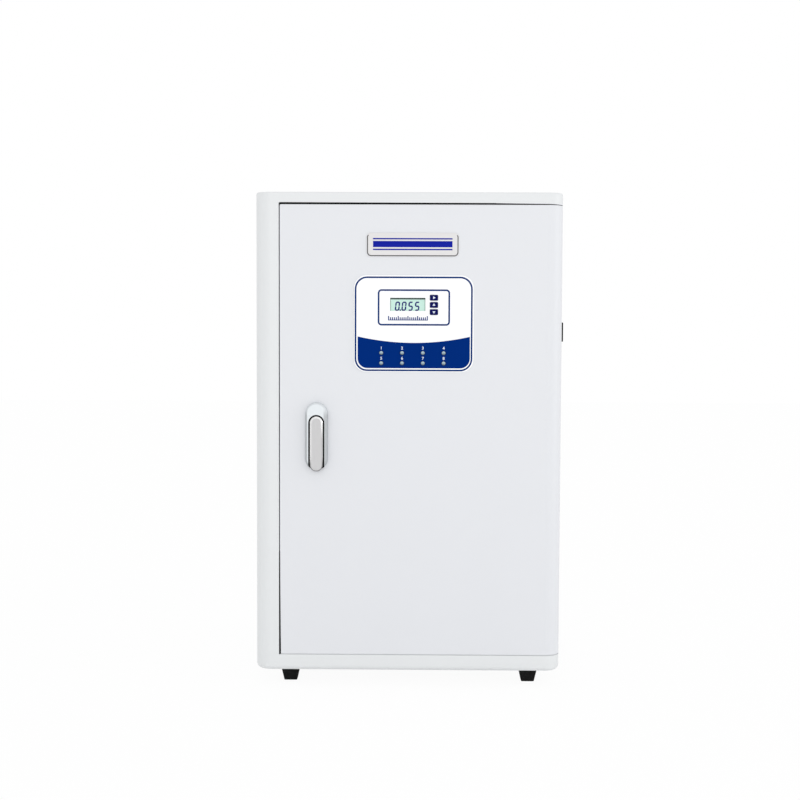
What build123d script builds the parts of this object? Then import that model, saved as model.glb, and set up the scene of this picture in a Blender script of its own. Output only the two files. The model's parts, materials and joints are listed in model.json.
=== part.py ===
from build123d import *
import os
from math import cos, radians, sin, sqrt

# Laboratory water purifier, in millimetres.
# It is drawn with x = 0 at the middle of the cabinet, y = 0 at the face of the door and z = 0 at the
# bench. When it is written out, every piece is shifted so that the origin lies at the middle of the
# footprint. The front looks along -y.

# Cabinet of folded steel sheet
cabinet_width = 413.0
cabinet_depth = 420.0
cabinet_height = 646.0
sheet = 1.5
corner_radius = 20.0
rear_corner_radius = 7.0
top_edge_radius = 2.0
base_edge_radius = 7.0
top_skirt = 14.4
base_skirt = 21.7
stile_width = 31.9
rear_flange = 24.0
overrun = 1.0
fit_clearance = 0.3

# Rubber feet
foot_height = 22.2
foot_top_width = 27.0
foot_base_width = 17.6
foot_corner_radius = 2.0
foot_inset = 42.5
foot_offset_x = 2.0
foot_recess_radius = 4.5
foot_recess_depth = 13.0

# Door, wrapped round the right-hand corner
door_top_gap = 2.0
door_side_gap = 1.2
door_bottom_gap = 0.8
door_depth = 30.0
door_edge_radius = 1.0
door_corner_radius = 2.0
door_lip = 18.0
swing_clearance = 1.0

# Door hinge
pin_radius = 3.0
running_clearance = 0.05
bush_wall = 2.5
bush_length = 12.0
bush_flange_width = 2.5
bush_end_play = 0.3
hinge_leaf = 3.0
hinge_leaf_length = 46.0
hinge_leaf_margin = 9.0

# Magnetic catch on the left-hand jamb
catch_width = 16.0
catch_length = 22.0
catch_height = 46.0
catch_edge_radius = 2.0

# Back panel
louvre_length = 90.0
louvre_height = 4.0
louvre_pitch = 12.0
louvre_rows = 9
louvre_spread = 130.0
louvre_drop = 70.0
screw_head_radius = 4.0
screw_head_height = 2.4
screw_radius = 2.0
screw_length = 7.0
screw_end_distance = 60.0
screw_rows = 3

# Name plate
name_plate_width = 123.0
name_plate_height = 31.5
name_plate_thickness = 1.6
name_plate_radius = 6.0
name_plate_x = 4.6
name_plate_drop = 70.0
name_plate_edge_radius = 0.6

# Control overlay, display, keys and lamps, placed from the overlay's middle
overlay_width = 160.0
overlay_height = 129.0
overlay_thickness = 1.5
overlay_radius = 17.0
overlay_x = 6.5
overlay_drop = 175.2
meter_width = 92.0
meter_height = 45.0
meter_rise = 21.7
window_width = 47.0
window_height = 17.5
window_offset_x = -8.2
window_rise = 4.1
display_margin = 3.0
key_width = 10.7
key_height = 7.4
key_offset_x = 26.8
key_names = ("key_right", "key_up", "key_down")
key_top_rise = 13.1
key_pitch = 9.6
key_radius = 1.2
key_travel = 0.8
key_clearance = 0.2
key_flange_width = 0.7
key_flange_thickness = 1.5
key_stem_radius = 2.0
lamp_radius = 2.75
lamp_dome = 1.4
lamp_columns = 4
lamp_pitch = 27.87
lamp_offset_x = -1.7
lamp_rows = 2
lamp_drop = 39.2
lamp_row_pitch = 13.7
lamp_clearance = 0.25
board_depth = 9.0
board_width = 140.0
board_height = 118.0
board_thickness = 1.6
key_switch_width = 6.0
key_switch_height = 3.4
cover_margin = 6.0
cover_wall = 2.0
cover_depth = 34.0
cover_flange = 8.0
cover_post_radius = 4.0
cover_post_inset = 8.0
cover_edge_radius = 4.0

# Flip-out handle
handle_inset = 49.8
handle_drop = 326.6
handle_width = 30.0
handle_length = 91.0
handle_thickness = 8.0
handle_edge_radius = 3.0
handle_floor = 1.5
lever_offset = 10.1
lever_width = 17.4
lever_length = 73.8
lever_thickness = 8.0
lever_gap = 2.0
lever_back_gap = 0.3
lever_bevel = 2.2
lever_pin_radius = 1.5
lever_pin_seat = 3.0

# Rocker power switch in the right-hand side
switch_drop = 185.6
switch_frame_width = 30.0
switch_frame_height = 27.0
switch_frame_proud = 4.0
switch_frame_radius = 2.0
switch_wall = 2.0
switch_depth = 20.0
rocker_width = 20.0
rocker_half_height = 9.0
rocker_reach = 4.6
rocker_middle_reach = 3.0
rocker_root = 3.0
rocker_tilt = 8.0
rocker_pivot_depth = 1.0
rocker_clearance = 0.4
trunnion_radius = 1.5
trunnion_length = 1.5

# Chassis plate that carries the filters
chassis_y = 290.0
chassis_side_gap = 15.0
chassis_sheet = 2.0
chassis_flange = 25.0
bracket_leaf = 2.5
bracket_rise = 40.0
bracket_side = 6.0

# Water tubing
tube_radius = 3.175
tube_bore_radius = 2.1
tube_bend = 12.0
tube_lane = 14.0
tube_hole_clearance = 1.5
wall_clearance = 5.0

# Filters: sediment and carbon
head_drop = 69.0
head_radius = 44.0
head_height = 40.0
head_edge_radius = 3.0
head_port_radius = 10.0
head_port_reach = 8.0
head_port_drop = 15.0
neck_radius = 39.0
neck_height = 16.0
sump_collar_radius = 43.0
sump_collar_height = 14.0
sump_radius = 38.0
sump_wall = 4.0
sump_length = 262.0
sump_end_radius = 12.0
sump_floor_radius = 3.0
seal_height = 3.0
cartridge_radius = 31.0
cartridge_bore_radius = 14.0
filter_stand_off = 60.0

# Membrane housing and resin column
housing_radius = 30.0
housing_wall = 4.0
housing_length = 250.0
housing_top_drop = 96.0
housing_end_radius = 8.0
column_gap = 2.0
permeate_drop = 30.0
cap_wall = 3.5
cap_height = 30.0
cap_seat = 18.0
cap_edge_radius = 2.0
port_radius = 6.5
port_length = 10.0
drain_port_offset = 16.0
element_clearance = 1.5
clip_wall = 4.0
clip_height = 18.0
clip_foot = 44.0
clip_foot_thickness = 4.0
clip_mouth_share = 0.8
clip_inset = 50.0

# Conductivity cell
cell_radius = 9.0
cell_length = 24.0
cell_probe_radius = 6.0
cell_probe_length = 16.0

# Booster pump
pump_head_width = 50.0
pump_head_side = 76.0
pump_head_radius = 8.0
pump_port_height = 10.0
motor_radius = 36.0
motor_length = 100.0
motor_wall = 2.0
motor_end_wall = 4.0
motor_edge_radius = 5.0
shaft_radius = 4.0
shaft_seat = 12.0
shaft_stub = 4.0
armature_radius = 30.0
armature_end_gap = 14.0
pump_plate_thickness = 2.0
pump_plate_margin = 9.0
pump_mount_radius = 9.0
pump_mount_height = 12.0

# Power supply, on the back of the chassis plate
supply_width = 110.0
supply_height = 160.0
supply_depth = 42.0
supply_x = -40.0
supply_rise = 140.0
supply_edge_radius = 2.0

# Inlet valve
valve_width = 34.0
valve_height = 24.0
valve_front = 14.0
valve_port_reach = 7.0
valve_edge_radius = 2.0
coil_width = 30.0
coil_length = 32.0
coil_edge_radius = 4.0

# Tube fittings and power inlet in the back panel
fitting_rise = 125.0
fitting_pitch = 45.0
fitting_collar_radius = 11.0
fitting_collar_length = 6.0
fitting_body_radius = 9.0
fitting_length = 22.0
fitting_thread_radius = 7.0
fitting_inner_length = 16.0
fitting_bore_clearance = 0.1
fitting_bore_depth = 18.0
fitting_edge_radius = 1.0
nut_radius = 12.5
nut_sides = 6
nut_height = 6.0
inlet_x = -60.0
inlet_rise = 135.0
inlet_flange_width = 50.0
inlet_flange_height = 31.0
inlet_flange_thickness = 3.0
inlet_flange_radius = 4.0
inlet_body_width = 28.0
inlet_body_height = 21.0
inlet_body_radius = 3.0
inlet_wall = 1.8
inlet_depth = 18.0
inlet_floor = 3.0
inlet_blade_width = 2.0
inlet_blade_height = 4.0
inlet_blade_length = 13.0
inlet_blade_spread = 7.0
inlet_blade_rise = 2.0

# Heights and places that follow from the sizes above
left = -cabinet_width / 2
right = cabinet_width / 2
bottom = foot_height
top = bottom + cabinet_height
floor = bottom + sheet
ceiling = top - sheet
roof_edge = top - top_skirt
base_edge = bottom + base_skirt
back_outside = cabinet_depth - sheet
back_inside = back_outside - sheet

door_left = left + stile_width + door_side_gap
door_top = roof_edge - door_top_gap
door_bottom = base_edge + door_bottom_gap
hinge_x = right - corner_radius
hinge_y = corner_radius
swing_radius = sqrt(corner_radius**2 + (door_depth - corner_radius)**2)
side_front = hinge_y + sqrt((swing_radius + swing_clearance)**2 - (corner_radius - sheet)**2)
bush_radius = pin_radius + running_clearance + bush_wall

overlay_z = top - overlay_drop
meter_z = overlay_z + meter_rise
window_x = overlay_x + window_offset_x
window_z = meter_z + window_rise
key_x = overlay_x + key_offset_x
key_rises = {name: key_top_rise - row * key_pitch for row, name in enumerate(key_names)}
board_front = board_depth
board_back = board_front + board_thickness

handle_x = door_left + handle_inset
handle_z = top - handle_drop
lever_z = handle_z - lever_offset
lever_back = -(handle_floor + lever_back_gap)
lever_pin_y = lever_back - lever_thickness / 2
lever_pin_z = lever_z + lever_length / 2 - lever_thickness / 2
handle_reach = lever_thickness - lever_back

switch_y = hinge_y + swing_radius + swing_clearance + switch_frame_width / 2
switch_z = top - switch_drop
rocker_pivot_x = right - rocker_pivot_depth
rocker_lean = radians(rocker_tilt)
rocker_tip = rocker_reach * cos(rocker_lean) + rocker_half_height * sin(rocker_lean)
rocker_sweep = rocker_half_height * cos(rocker_lean) + rocker_reach * sin(rocker_lean)
switch_reach = rocker_tip - rocker_pivot_depth

chassis_width = cabinet_width - 2 * (sheet + chassis_side_gap)
filter_y = chassis_y - filter_stand_off
filter_pitch = 2 * (head_radius + head_port_reach)
feed_lane_x = left + sheet + wall_clearance + tube_radius
sediment_x = feed_lane_x + tube_lane + head_port_reach + head_radius
carbon_x = sediment_x + filter_pitch
pump_lane_x = carbon_x + head_radius + head_port_reach + tube_lane
head_top = top - head_drop
head_bottom = head_top - head_height
head_port_z = head_top - head_port_drop
neck_top = head_bottom + neck_height
seal_top = neck_top + seal_height
sump_bottom = head_bottom - sump_length
sump_floor = sump_bottom + sump_wall

cap_radius = housing_radius + cap_wall
clip_radius = housing_radius + fit_clearance + clip_wall
clip_stand_off = clip_radius + wall_clearance
column_x = right - sheet - clip_stand_off
resin_y = chassis_y - clip_stand_off
membrane_y = resin_y - 2 * clip_radius - column_gap
housing_top = top - housing_top_drop
housing_bottom = housing_top - housing_length
cap_top = housing_top + cap_height - cap_seat
port_top = cap_top + port_length
column_port_bottom = housing_bottom - (cap_height - cap_seat) - port_length
membrane_port_bottom = housing_bottom - port_length
cell_top = port_top + cell_length

pump_inlet_y = filter_y
pump_outlet_y = membrane_y
pump_y = (pump_inlet_y + pump_outlet_y) / 2
pump_plate_z = floor + pump_mount_height
pump_base = pump_plate_z + pump_plate_thickness
pump_axis_z = pump_base + pump_head_side / 2
pump_head_left = pump_lane_x - pump_head_width / 2
motor_left = pump_head_left - motor_length
pump_port_z = pump_base + pump_head_side + pump_port_height

fitting_z = bottom + fitting_rise
valve_x = feed_lane_x + tube_lane + valve_port_reach + valve_width / 2
drain_x = column_x - fitting_pitch
fitting_places = {"feed": valve_x, "drain": drain_x, "product": column_x}
fitting_inner_end = back_inside - fitting_inner_length
fitting_reach = back_outside + fitting_length - cabinet_depth
product_lane_y = (chassis_y + chassis_sheet + fitting_inner_end) / 2
over_lane_z = (port_top + cell_length + ceiling) / 2
inlet_z = bottom + inlet_rise

# The origin is the middle of the footprint, from handle to fittings and from left side to switch
to_origin = Pos(-switch_reach / 2, (handle_reach - cabinet_depth - fitting_reach) / 2, 0)

start_at_base = (Align.CENTER, Align.CENTER, Align.MIN)


def block(x0, x1, y0, y1, z0, z1):
    """A box between three pairs of planes."""
    middle = Pos((x0 + x1) / 2, (y0 + y1) / 2, (z0 + z1) / 2)
    return middle * Box(x1 - x0, y1 - y0, z1 - z0)


def zone(x0, x1, y0, y1):
    """A rectangle between two pairs of lines."""
    return Pos((x0 + x1) / 2, (y0 + y1) / 2) * Rectangle(x1 - x0, y1 - y0)


def rise(face, z0, z1):
    """A face drawn in x and y, raised from one height to another."""
    return extrude(Pos(0, 0, z0) * face, z1 - z0)


def rod(radius, start, end):
    """A round bar from one point to another."""
    span = Vector(end) - Vector(start)
    return Plane(origin=start, z_dir=span) * Cylinder(radius, span.length, align=start_at_base)


def front_plate(face, back, thickness):
    """A face drawn in x and z, thickened towards the viewer from the plane y = back."""
    upright = Plane(origin=(0, back, 0), x_dir=(1, 0, 0), z_dir=(0, -1, 0))
    return extrude(upright * face, thickness)


def front_edges(solid):
    """The edges round the face of a solid that is nearest to the viewer."""
    return solid.faces().sort_by(Axis.Y)[0].edges()


def joined(solids):
    """Separate solids kept together as one node."""
    return Part() + list(solids)


def plan(inset):
    """The cabinet's outline from above, drawn in by the inset."""
    outline = Rectangle(cabinet_width - 2 * inset, cabinet_depth - 2 * inset)
    outline = Pos(0, cabinet_depth / 2) * outline
    outline = fillet(outline.vertices().group_by(Axis.Y)[0], corner_radius - inset)
    return fillet(outline.vertices().group_by(Axis.Y)[-1], rear_corner_radius - inset)


def rear_screw_places():
    """Where the back panel is screwed to the rear flanges."""
    step = (roof_edge - base_edge - 2 * screw_end_distance) / (screw_rows - 1)
    for x in (left + rear_flange / 2, right - rear_flange / 2):
        for row in range(screw_rows):
            yield x, base_edge + screw_end_distance + row * step


def rear_screw_holes():
    holes = [
        rod(screw_radius, (x, back_inside - overrun, z), (x, cabinet_depth + overrun, z))
        for x, z in rear_screw_places()
    ]
    return joined(holes)


def top_panel():
    pan = rise(plan(0), roof_edge, top)
    pan = fillet(pan.faces().sort_by(Axis.Z)[-1].edges(), top_edge_radius)
    hollow = rise(plan(sheet), roof_edge - overrun, ceiling)
    hollow = fillet(hollow.faces().sort_by(Axis.Z)[-1].edges(), top_edge_radius - sheet)
    return pan - hollow


def base_panel():
    pan = rise(plan(0), bottom, base_edge)
    pan = fillet(pan.faces().sort_by(Axis.Z)[0].edges(), base_edge_radius)
    hollow = rise(plan(sheet), floor, base_edge + overrun)
    hollow = fillet(hollow.faces().sort_by(Axis.Z)[0].edges(), base_edge_radius - sheet)
    return pan - hollow


def left_side_panel():
    front = zone(left - overrun, left + stile_width, -overrun, cabinet_depth / 2)
    rear = zone(left - overrun, left + rear_flange, cabinet_depth / 2, cabinet_depth + overrun)
    strip = (plan(0) - plan(sheet)) & (front + rear)
    jamb = zone(left + stile_width - sheet, left + stile_width, 0, door_depth + catch_length)
    return rise(strip + jamb, base_edge, roof_edge) - rear_screw_holes()


def right_side_panel():
    strip = plan(0) - plan(sheet)
    strip = strip & zone(right - rear_flange, right + overrun, side_front, cabinet_depth + overrun)
    panel = rise(strip, base_edge, roof_edge)
    return panel - switch_sleeve() - rear_screw_holes()


def back_panel():
    half = cabinet_width / 2 - rear_corner_radius - fit_clearance
    low = bottom + base_edge_radius
    high = top - top_edge_radius
    panel = block(-half, half, back_inside, back_outside, low, high)
    slot = SlotOverall(louvre_length, louvre_height)
    slots = [
        Pos(side * louvre_spread / 2, top - louvre_drop - row * louvre_pitch) * slot
        for side in (-1, 1)
        for row in range(louvre_rows)
    ]
    louvres = front_plate(Sketch() + slots, back_outside + overrun, sheet + 2 * overrun)
    threads = [
        rod(fitting_thread_radius, (x, back_inside - overrun, fitting_z), (x, cabinet_depth, fitting_z))
        for x in fitting_places.values()
    ]
    inlet = front_plate(inlet_outline(), back_outside + overrun, sheet + 2 * overrun)
    return panel - louvres - joined(threads) - inlet - rear_screw_holes()


def back_panel_screws():
    screws = [
        rod(screw_head_radius, (x, cabinet_depth, z), (x, cabinet_depth + screw_head_height, z))
        + rod(screw_radius, (x, cabinet_depth - screw_length, z), (x, cabinet_depth, z))
        for x, z in rear_screw_places()
    ]
    return joined(screws)


def rubber_feet():
    base = RectangleRounded(foot_base_width, foot_base_width, foot_corner_radius)
    head = Pos(0, 0, foot_height) * RectangleRounded(foot_top_width, foot_top_width, foot_corner_radius)
    foot = loft([base, head], ruled=True) - Cylinder(foot_recess_radius, foot_recess_depth, align=start_at_base)
    places = [
        (foot_offset_x + side * (cabinet_width / 2 - foot_inset), y)
        for side in (-1, 1)
        for y in (foot_inset, cabinet_depth - foot_inset)
    ]
    return joined(Pos(x, y, 0) * foot for x, y in places)


def door_panel():
    outline = plan(0) & zone(door_left, right + overrun, -overrun, door_depth)
    skin = outline - plan(sheet)
    edge = zone(door_left, door_left + sheet, 0, door_depth)
    lip = zone(door_left, door_left + door_lip, door_depth - sheet, door_depth)
    door = rise(skin + edge + lip, door_bottom, door_top)
    for low in (door_bottom, door_top - sheet):
        door = door + rise(outline, low, low + sheet)
    door = fillet(door_corners(door), door_corner_radius)
    door = fillet(door_outer_edges(door), door_edge_radius)
    pin_line = rod(bush_radius, (hinge_x, hinge_y, bottom), (hinge_x, hinge_y, top))
    meter = Pos(overlay_x, meter_z) * Rectangle(meter_width, meter_height)
    openings = front_plate(meter + lamp_holes(), sheet + overrun, sheet + 2 * overrun)
    return door - pin_line - openings


def door_corners(door):
    """The edges, front to back, at the door's two free corners."""
    free = door.edges().filter_by(Axis.Y).filter_by(lambda e: e.center().X < door_left + fit_clearance)
    return free.filter_by(lambda e: at_door_end(e.center().Z))


def at_door_end(z):
    return min(abs(z - door_top), abs(z - door_bottom)) < fit_clearance


def door_outer_edges(door):
    """The door's visible rim: round its front, and along its wrapped end at the top and the bottom."""
    front = door.edges().filter_by(lambda e: e.center().Y < fit_clearance)
    front = front.filter_by(lambda e: e.center().X < hinge_x - fit_clearance)
    wrap = door.edges().filter_by(lambda e: e.center().X > hinge_x + fit_clearance)
    wrap = wrap.filter_by(lambda e: at_door_end(e.center().Z) and e.center().Y < door_depth - fit_clearance)
    return front + wrap


def hinge_bracket(leaf_low, web_low, web_high):
    """A bracket whose leaf holds a hinge pin and whose web is welded inside the front skirt."""
    start = hinge_x - hinge_leaf_length
    end = hinge_x + hinge_leaf_margin
    leaf = plan(sheet + fit_clearance) & zone(start, end, sheet, hinge_y + hinge_leaf_margin)
    bracket = rise(leaf, leaf_low, leaf_low + hinge_leaf)
    bracket = bracket + block(start, hinge_x, sheet, sheet + hinge_leaf, web_low, web_high)
    return bracket - rod(pin_radius, (hinge_x, hinge_y, bottom), (hinge_x, hinge_y, top))


def upper_hinge_bracket():
    return hinge_bracket(roof_edge, roof_edge, top - top_edge_radius)


def lower_hinge_bracket():
    return hinge_bracket(base_edge - hinge_leaf, bottom + base_edge_radius, base_edge)


def hinge_pins():
    upper = rod(pin_radius, (hinge_x, hinge_y, door_top - bush_length),
                (hinge_x, hinge_y, roof_edge + hinge_leaf))
    lower = rod(pin_radius, (hinge_x, hinge_y, base_edge - hinge_leaf),
                (hinge_x, hinge_y, door_bottom + bush_length))
    return joined([upper, lower])


def door_bush(seat, inward, gap):
    """A flanged nylon bush on the end of the door at height seat, reaching into the door."""
    inner = seat + inward * bush_length
    flange = seat - inward * (gap - bush_end_play)
    bush = rod(bush_radius, (hinge_x, hinge_y, seat), (hinge_x, hinge_y, inner))
    bush = bush + rod(bush_radius + bush_flange_width, (hinge_x, hinge_y, seat), (hinge_x, hinge_y, flange))
    bore = pin_radius + running_clearance
    return bush - rod(bore, (hinge_x, hinge_y, bottom), (hinge_x, hinge_y, top))


def door_bushes():
    return joined([door_bush(door_top, -1, door_top_gap), door_bush(door_bottom, 1, door_bottom_gap)])


def magnet_catch():
    """The magnet that holds the door shut, screwed to the jamb behind the door's lip."""
    x0 = left + stile_width
    y0 = door_depth + fit_clearance
    catch = block(x0, x0 + catch_width, y0, door_depth + catch_length,
                  handle_z - catch_height / 2, handle_z + catch_height / 2)
    return fillet(catch.edges().filter_by(Axis.Z).sort_by(Axis.X)[-2:], catch_edge_radius)


def name_plate():
    face = RectangleRounded(name_plate_width, name_plate_height, name_plate_radius)
    plate = front_plate(Pos(name_plate_x, top - name_plate_drop) * face, 0, name_plate_thickness)
    return fillet(front_edges(plate), name_plate_edge_radius)


def lamp_places():
    first = overlay_x + lamp_offset_x - (lamp_columns - 1) * lamp_pitch / 2
    for row in range(lamp_rows):
        for column in range(lamp_columns):
            yield first + column * lamp_pitch, overlay_z - lamp_drop - row * lamp_row_pitch


def lamp_holes():
    hole = Circle(lamp_radius + lamp_clearance)
    return Sketch() + [Pos(x, z) * hole for x, z in lamp_places()]


def control_overlay():
    face = Pos(overlay_x, overlay_z) * RectangleRounded(overlay_width, overlay_height, overlay_radius)
    face = face - Pos(window_x, window_z) * Rectangle(window_width, window_height)
    slack = 2 * key_clearance
    key_hole = RectangleRounded(key_width + slack, key_height + slack, key_radius + key_clearance)
    keys = [Pos(key_x, meter_z + key_rise) * key_hole for key_rise in key_rises.values()]
    return front_plate(face - keys - lamp_holes(), 0, overlay_thickness)


def lcd_module():
    face = Rectangle(window_width + 2 * display_margin, window_height + 2 * display_margin)
    return front_plate(Pos(window_x, window_z) * face, board_front, board_front)


def indicator_leds():
    lamps = []
    for x, z in lamp_places():
        front = -overlay_thickness
        lamp = rod(lamp_radius, (x, board_front, z), (x, front - lamp_dome, z))
        lamps.append(fillet(front_edges(lamp), lamp_dome))
    return joined(lamps)


def key(key_rise):
    """A key cap, its retaining flange behind the overlay, and its stem."""
    z = meter_z + key_rise
    cap = Pos(key_x, z) * RectangleRounded(key_width, key_height, key_radius)
    wide = key_width + 2 * key_flange_width
    tall = key_height + 2 * key_flange_width
    flange = Pos(key_x, z) * Rectangle(wide, tall)
    piece = front_plate(cap, 0, overlay_thickness + key_travel)
    piece = piece + front_plate(flange, key_flange_thickness, key_flange_thickness)
    stem_end = board_front - key_switch_height - key_travel
    return piece + rod(key_stem_radius, (key_x, 0, z), (key_x, stem_end, z))


def control_board():
    face = Pos(overlay_x, overlay_z) * Rectangle(board_width, board_height)
    board = front_plate(face, board_back, board_thickness)
    half = key_switch_width / 2
    for key_rise in key_rises.values():
        z = meter_z + key_rise
        board = board + block(key_x - half, key_x + half, board_front - key_switch_height, board_front,
                              z - half, z + half)
    return board


def control_cover():
    """The box behind the door that covers the board and holds it on four posts."""
    wide = board_width + 2 * cover_margin
    tall = board_height + 2 * cover_margin
    back = sheet + cover_depth
    outer = Pos(overlay_x, overlay_z) * RectangleRounded(wide, tall, cover_edge_radius)
    inner = Pos(overlay_x, overlay_z) * Rectangle(wide - 2 * cover_wall, tall - 2 * cover_wall)
    cover = front_plate(outer, back, cover_depth) - front_plate(inner, back - cover_wall, cover_depth)
    rim = Pos(overlay_x, overlay_z) * RectangleRounded(wide + 2 * cover_flange, tall, cover_edge_radius)
    cover = cover + front_plate(rim - inner, sheet + cover_wall, cover_wall)
    for x_side in (-1, 1):
        for z_side in (-1, 1):
            x = overlay_x + x_side * (board_width / 2 - cover_post_inset)
            z = overlay_z + z_side * (board_height / 2 - cover_post_inset)
            cover = cover + rod(cover_post_radius, (x, board_back, z), (x, back, z))
    return cover


def handle_plate():
    outline = Pos(handle_x, handle_z) * SlotOverall(handle_length, handle_width, rotation=90)
    plate = front_plate(outline, 0, handle_thickness)
    plate = fillet(front_edges(plate), handle_edge_radius)
    slot_width = lever_width + 2 * lever_gap
    slot_top = lever_z + lever_length / 2 + lever_gap
    slot_length = 2 * lever_length
    slot = SlotOverall(slot_length, slot_width, rotation=90)
    slot = Pos(handle_x, slot_top - slot_length / 2) * slot
    plate = plate - front_plate(slot, -handle_floor, handle_thickness)
    return plate - lever_pin()


def lever_pin():
    half = lever_width / 2 + lever_gap + lever_pin_seat
    return rod(lever_pin_radius, (handle_x - half, lever_pin_y, lever_pin_z),
               (handle_x + half, lever_pin_y, lever_pin_z))


def handle_lever():
    """The lever: a bevelled bar, cut away behind its upper end so that it can turn about its pin."""
    outline = Pos(handle_x, lever_z) * SlotOverall(lever_length, lever_width, rotation=90)
    lever = front_plate(outline, lever_back, lever_thickness)
    lever = chamfer(front_edges(lever), lever_bevel)
    lever_top = lever_z + lever_length / 2
    relief = lever_thickness / 2
    corner = [
        (lever_back + overrun, lever_top - relief - overrun),
        (lever_back + overrun, lever_top + overrun),
        (lever_back - relief - overrun, lever_top + overrun),
    ]
    side_view = Plane(origin=(handle_x, 0, 0), x_dir=(0, 1, 0), z_dir=(1, 0, 0))
    wedge = extrude(side_view * make_face(Polyline(*corner, close=True)), lever_width, both=True)
    side = lever_width / 2 + overrun
    bore = lever_pin_radius + running_clearance
    return lever - wedge - rod(bore, (handle_x - side, lever_pin_y, lever_pin_z),
                               (handle_x + side, lever_pin_y, lever_pin_z))


def switch_sleeve():
    """The space that the switch takes in the cabinet's side."""
    half_y = switch_frame_width / 2 - switch_wall
    half_z = switch_frame_height / 2 - switch_wall / 2
    return block(right - switch_depth, right, switch_y - half_y, switch_y + half_y,
                 switch_z - half_z, switch_z + half_z)


def switch_frame():
    half_y = switch_frame_width / 2
    half_z = switch_frame_height / 2
    flange = block(right, right + switch_frame_proud, switch_y - half_y, switch_y + half_y,
                   switch_z - half_z, switch_z + half_z)
    flange = fillet(flange.faces().sort_by(Axis.X)[-1].edges(), switch_frame_radius)
    room_y = rocker_width / 2 + rocker_clearance
    room_z = rocker_sweep + rocker_clearance
    room = block(right - switch_depth + switch_wall, right + switch_frame_proud + overrun,
                 switch_y - room_y, switch_y + room_y, switch_z - room_z, switch_z + room_z)
    pivots = rod(trunnion_radius + running_clearance,
                 (rocker_pivot_x, switch_y - room_y - trunnion_length, switch_z),
                 (rocker_pivot_x, switch_y + room_y + trunnion_length, switch_z))
    return flange + switch_sleeve() - room - pivots


def power_rocker():
    """The rocker, drawn tipped to its off side about the trunnions."""
    points = [
        (-rocker_root, -rocker_half_height / 2),
        (rocker_reach, -rocker_half_height),
        (rocker_middle_reach, 0),
        (rocker_reach, rocker_half_height),
        (-rocker_root, rocker_half_height / 2),
    ]
    side_view = Plane(origin=(0, 0, 0), x_dir=(1, 0, 0), z_dir=(0, -1, 0))
    body = extrude(side_view * make_face(Polyline(*points, close=True)), rocker_width / 2, both=True)
    half = rocker_width / 2 + trunnion_length
    body = body + rod(trunnion_radius, (0, -half, 0), (0, half, 0))
    return Pos(rocker_pivot_x, switch_y, switch_z) * Rot(0, -rocker_tilt, 0) * body


def chassis_plate():
    half = chassis_width / 2
    back = chassis_y + chassis_sheet
    plate = block(-half, half, chassis_y, back, floor, ceiling)
    for low in (floor, ceiling - chassis_sheet):
        plate = plate + block(-half, half, chassis_y, back + chassis_flange, low, low + chassis_sheet)
    hole = tube_radius + tube_hole_clearance
    passages = [(valve_x, fitting_z), (drain_x, fitting_z), (column_x, over_lane_z)]
    holes = [rod(hole, (x, chassis_y - overrun, z), (x, back + overrun, z)) for x, z in passages]
    return plate - joined(holes)


def filter_bracket():
    x0 = sediment_x - head_radius - bracket_side
    x1 = carbon_x + head_radius
    leaf = block(x0, x1, filter_y - head_radius / 2, chassis_y, head_top, head_top + bracket_leaf)
    return leaf + block(x0, x1, chassis_y - bracket_leaf, chassis_y, head_top, head_top + bracket_rise)


def filter_head(x):
    head = Pos(x, filter_y, head_bottom) * Cylinder(head_radius, head_height, align=start_at_base)
    head = fillet(head.edges().filter_by(GeomType.CIRCLE), head_edge_radius)
    reach = head_radius + head_port_reach
    head = head + rod(head_port_radius, (x - reach, filter_y, head_port_z), (x + reach, filter_y, head_port_z))
    return head - rod(neck_radius + fit_clearance, (x, filter_y, head_bottom), (x, filter_y, seal_top))


def filter_sump(x):
    """A clear bowl with a grip collar and a neck that screws into the head."""
    bowl = rod(sump_radius, (x, filter_y, sump_bottom), (x, filter_y, head_bottom))
    bowl = fillet(bowl.edges().filter_by(GeomType.CIRCLE).sort_by(Axis.Z)[0], sump_end_radius)
    bowl = bowl + rod(sump_collar_radius, (x, filter_y, head_bottom - sump_collar_height),
                      (x, filter_y, head_bottom))
    bowl = bowl + rod(neck_radius, (x, filter_y, head_bottom), (x, filter_y, neck_top))
    inside = rod(sump_radius - sump_wall, (x, filter_y, sump_floor), (x, filter_y, neck_top + overrun))
    inside = fillet(inside.edges().filter_by(GeomType.CIRCLE).sort_by(Axis.Z)[0], sump_floor_radius)
    return bowl - inside


def filter_cartridge(x):
    body = rod(cartridge_radius, (x, filter_y, sump_floor), (x, filter_y, seal_top))
    return body - rod(cartridge_bore_radius, (x, filter_y, sump_floor), (x, filter_y, seal_top))


def sump_seals():
    seals = []
    for x in (sediment_x, carbon_x):
        ring = rod(neck_radius, (x, filter_y, neck_top), (x, filter_y, seal_top))
        bore = sump_radius - sump_wall
        seals.append(ring - rod(bore, (x, filter_y, neck_top), (x, filter_y, seal_top)))
    return joined(seals)


def membrane_housing():
    x, y = column_x, membrane_y
    body = rod(housing_radius, (x, y, housing_bottom), (x, y, housing_top))
    body = fillet(body.edges().filter_by(GeomType.CIRCLE).sort_by(Axis.Z)[0], housing_end_radius)
    for offset in (0, -drain_port_offset):
        body = body + rod(port_radius, (x + offset, y, membrane_port_bottom), (x + offset, y, housing_bottom))
    inner = housing_radius - housing_wall
    return body - rod(inner, (x, y, housing_bottom + housing_wall), (x, y, housing_top))


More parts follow.
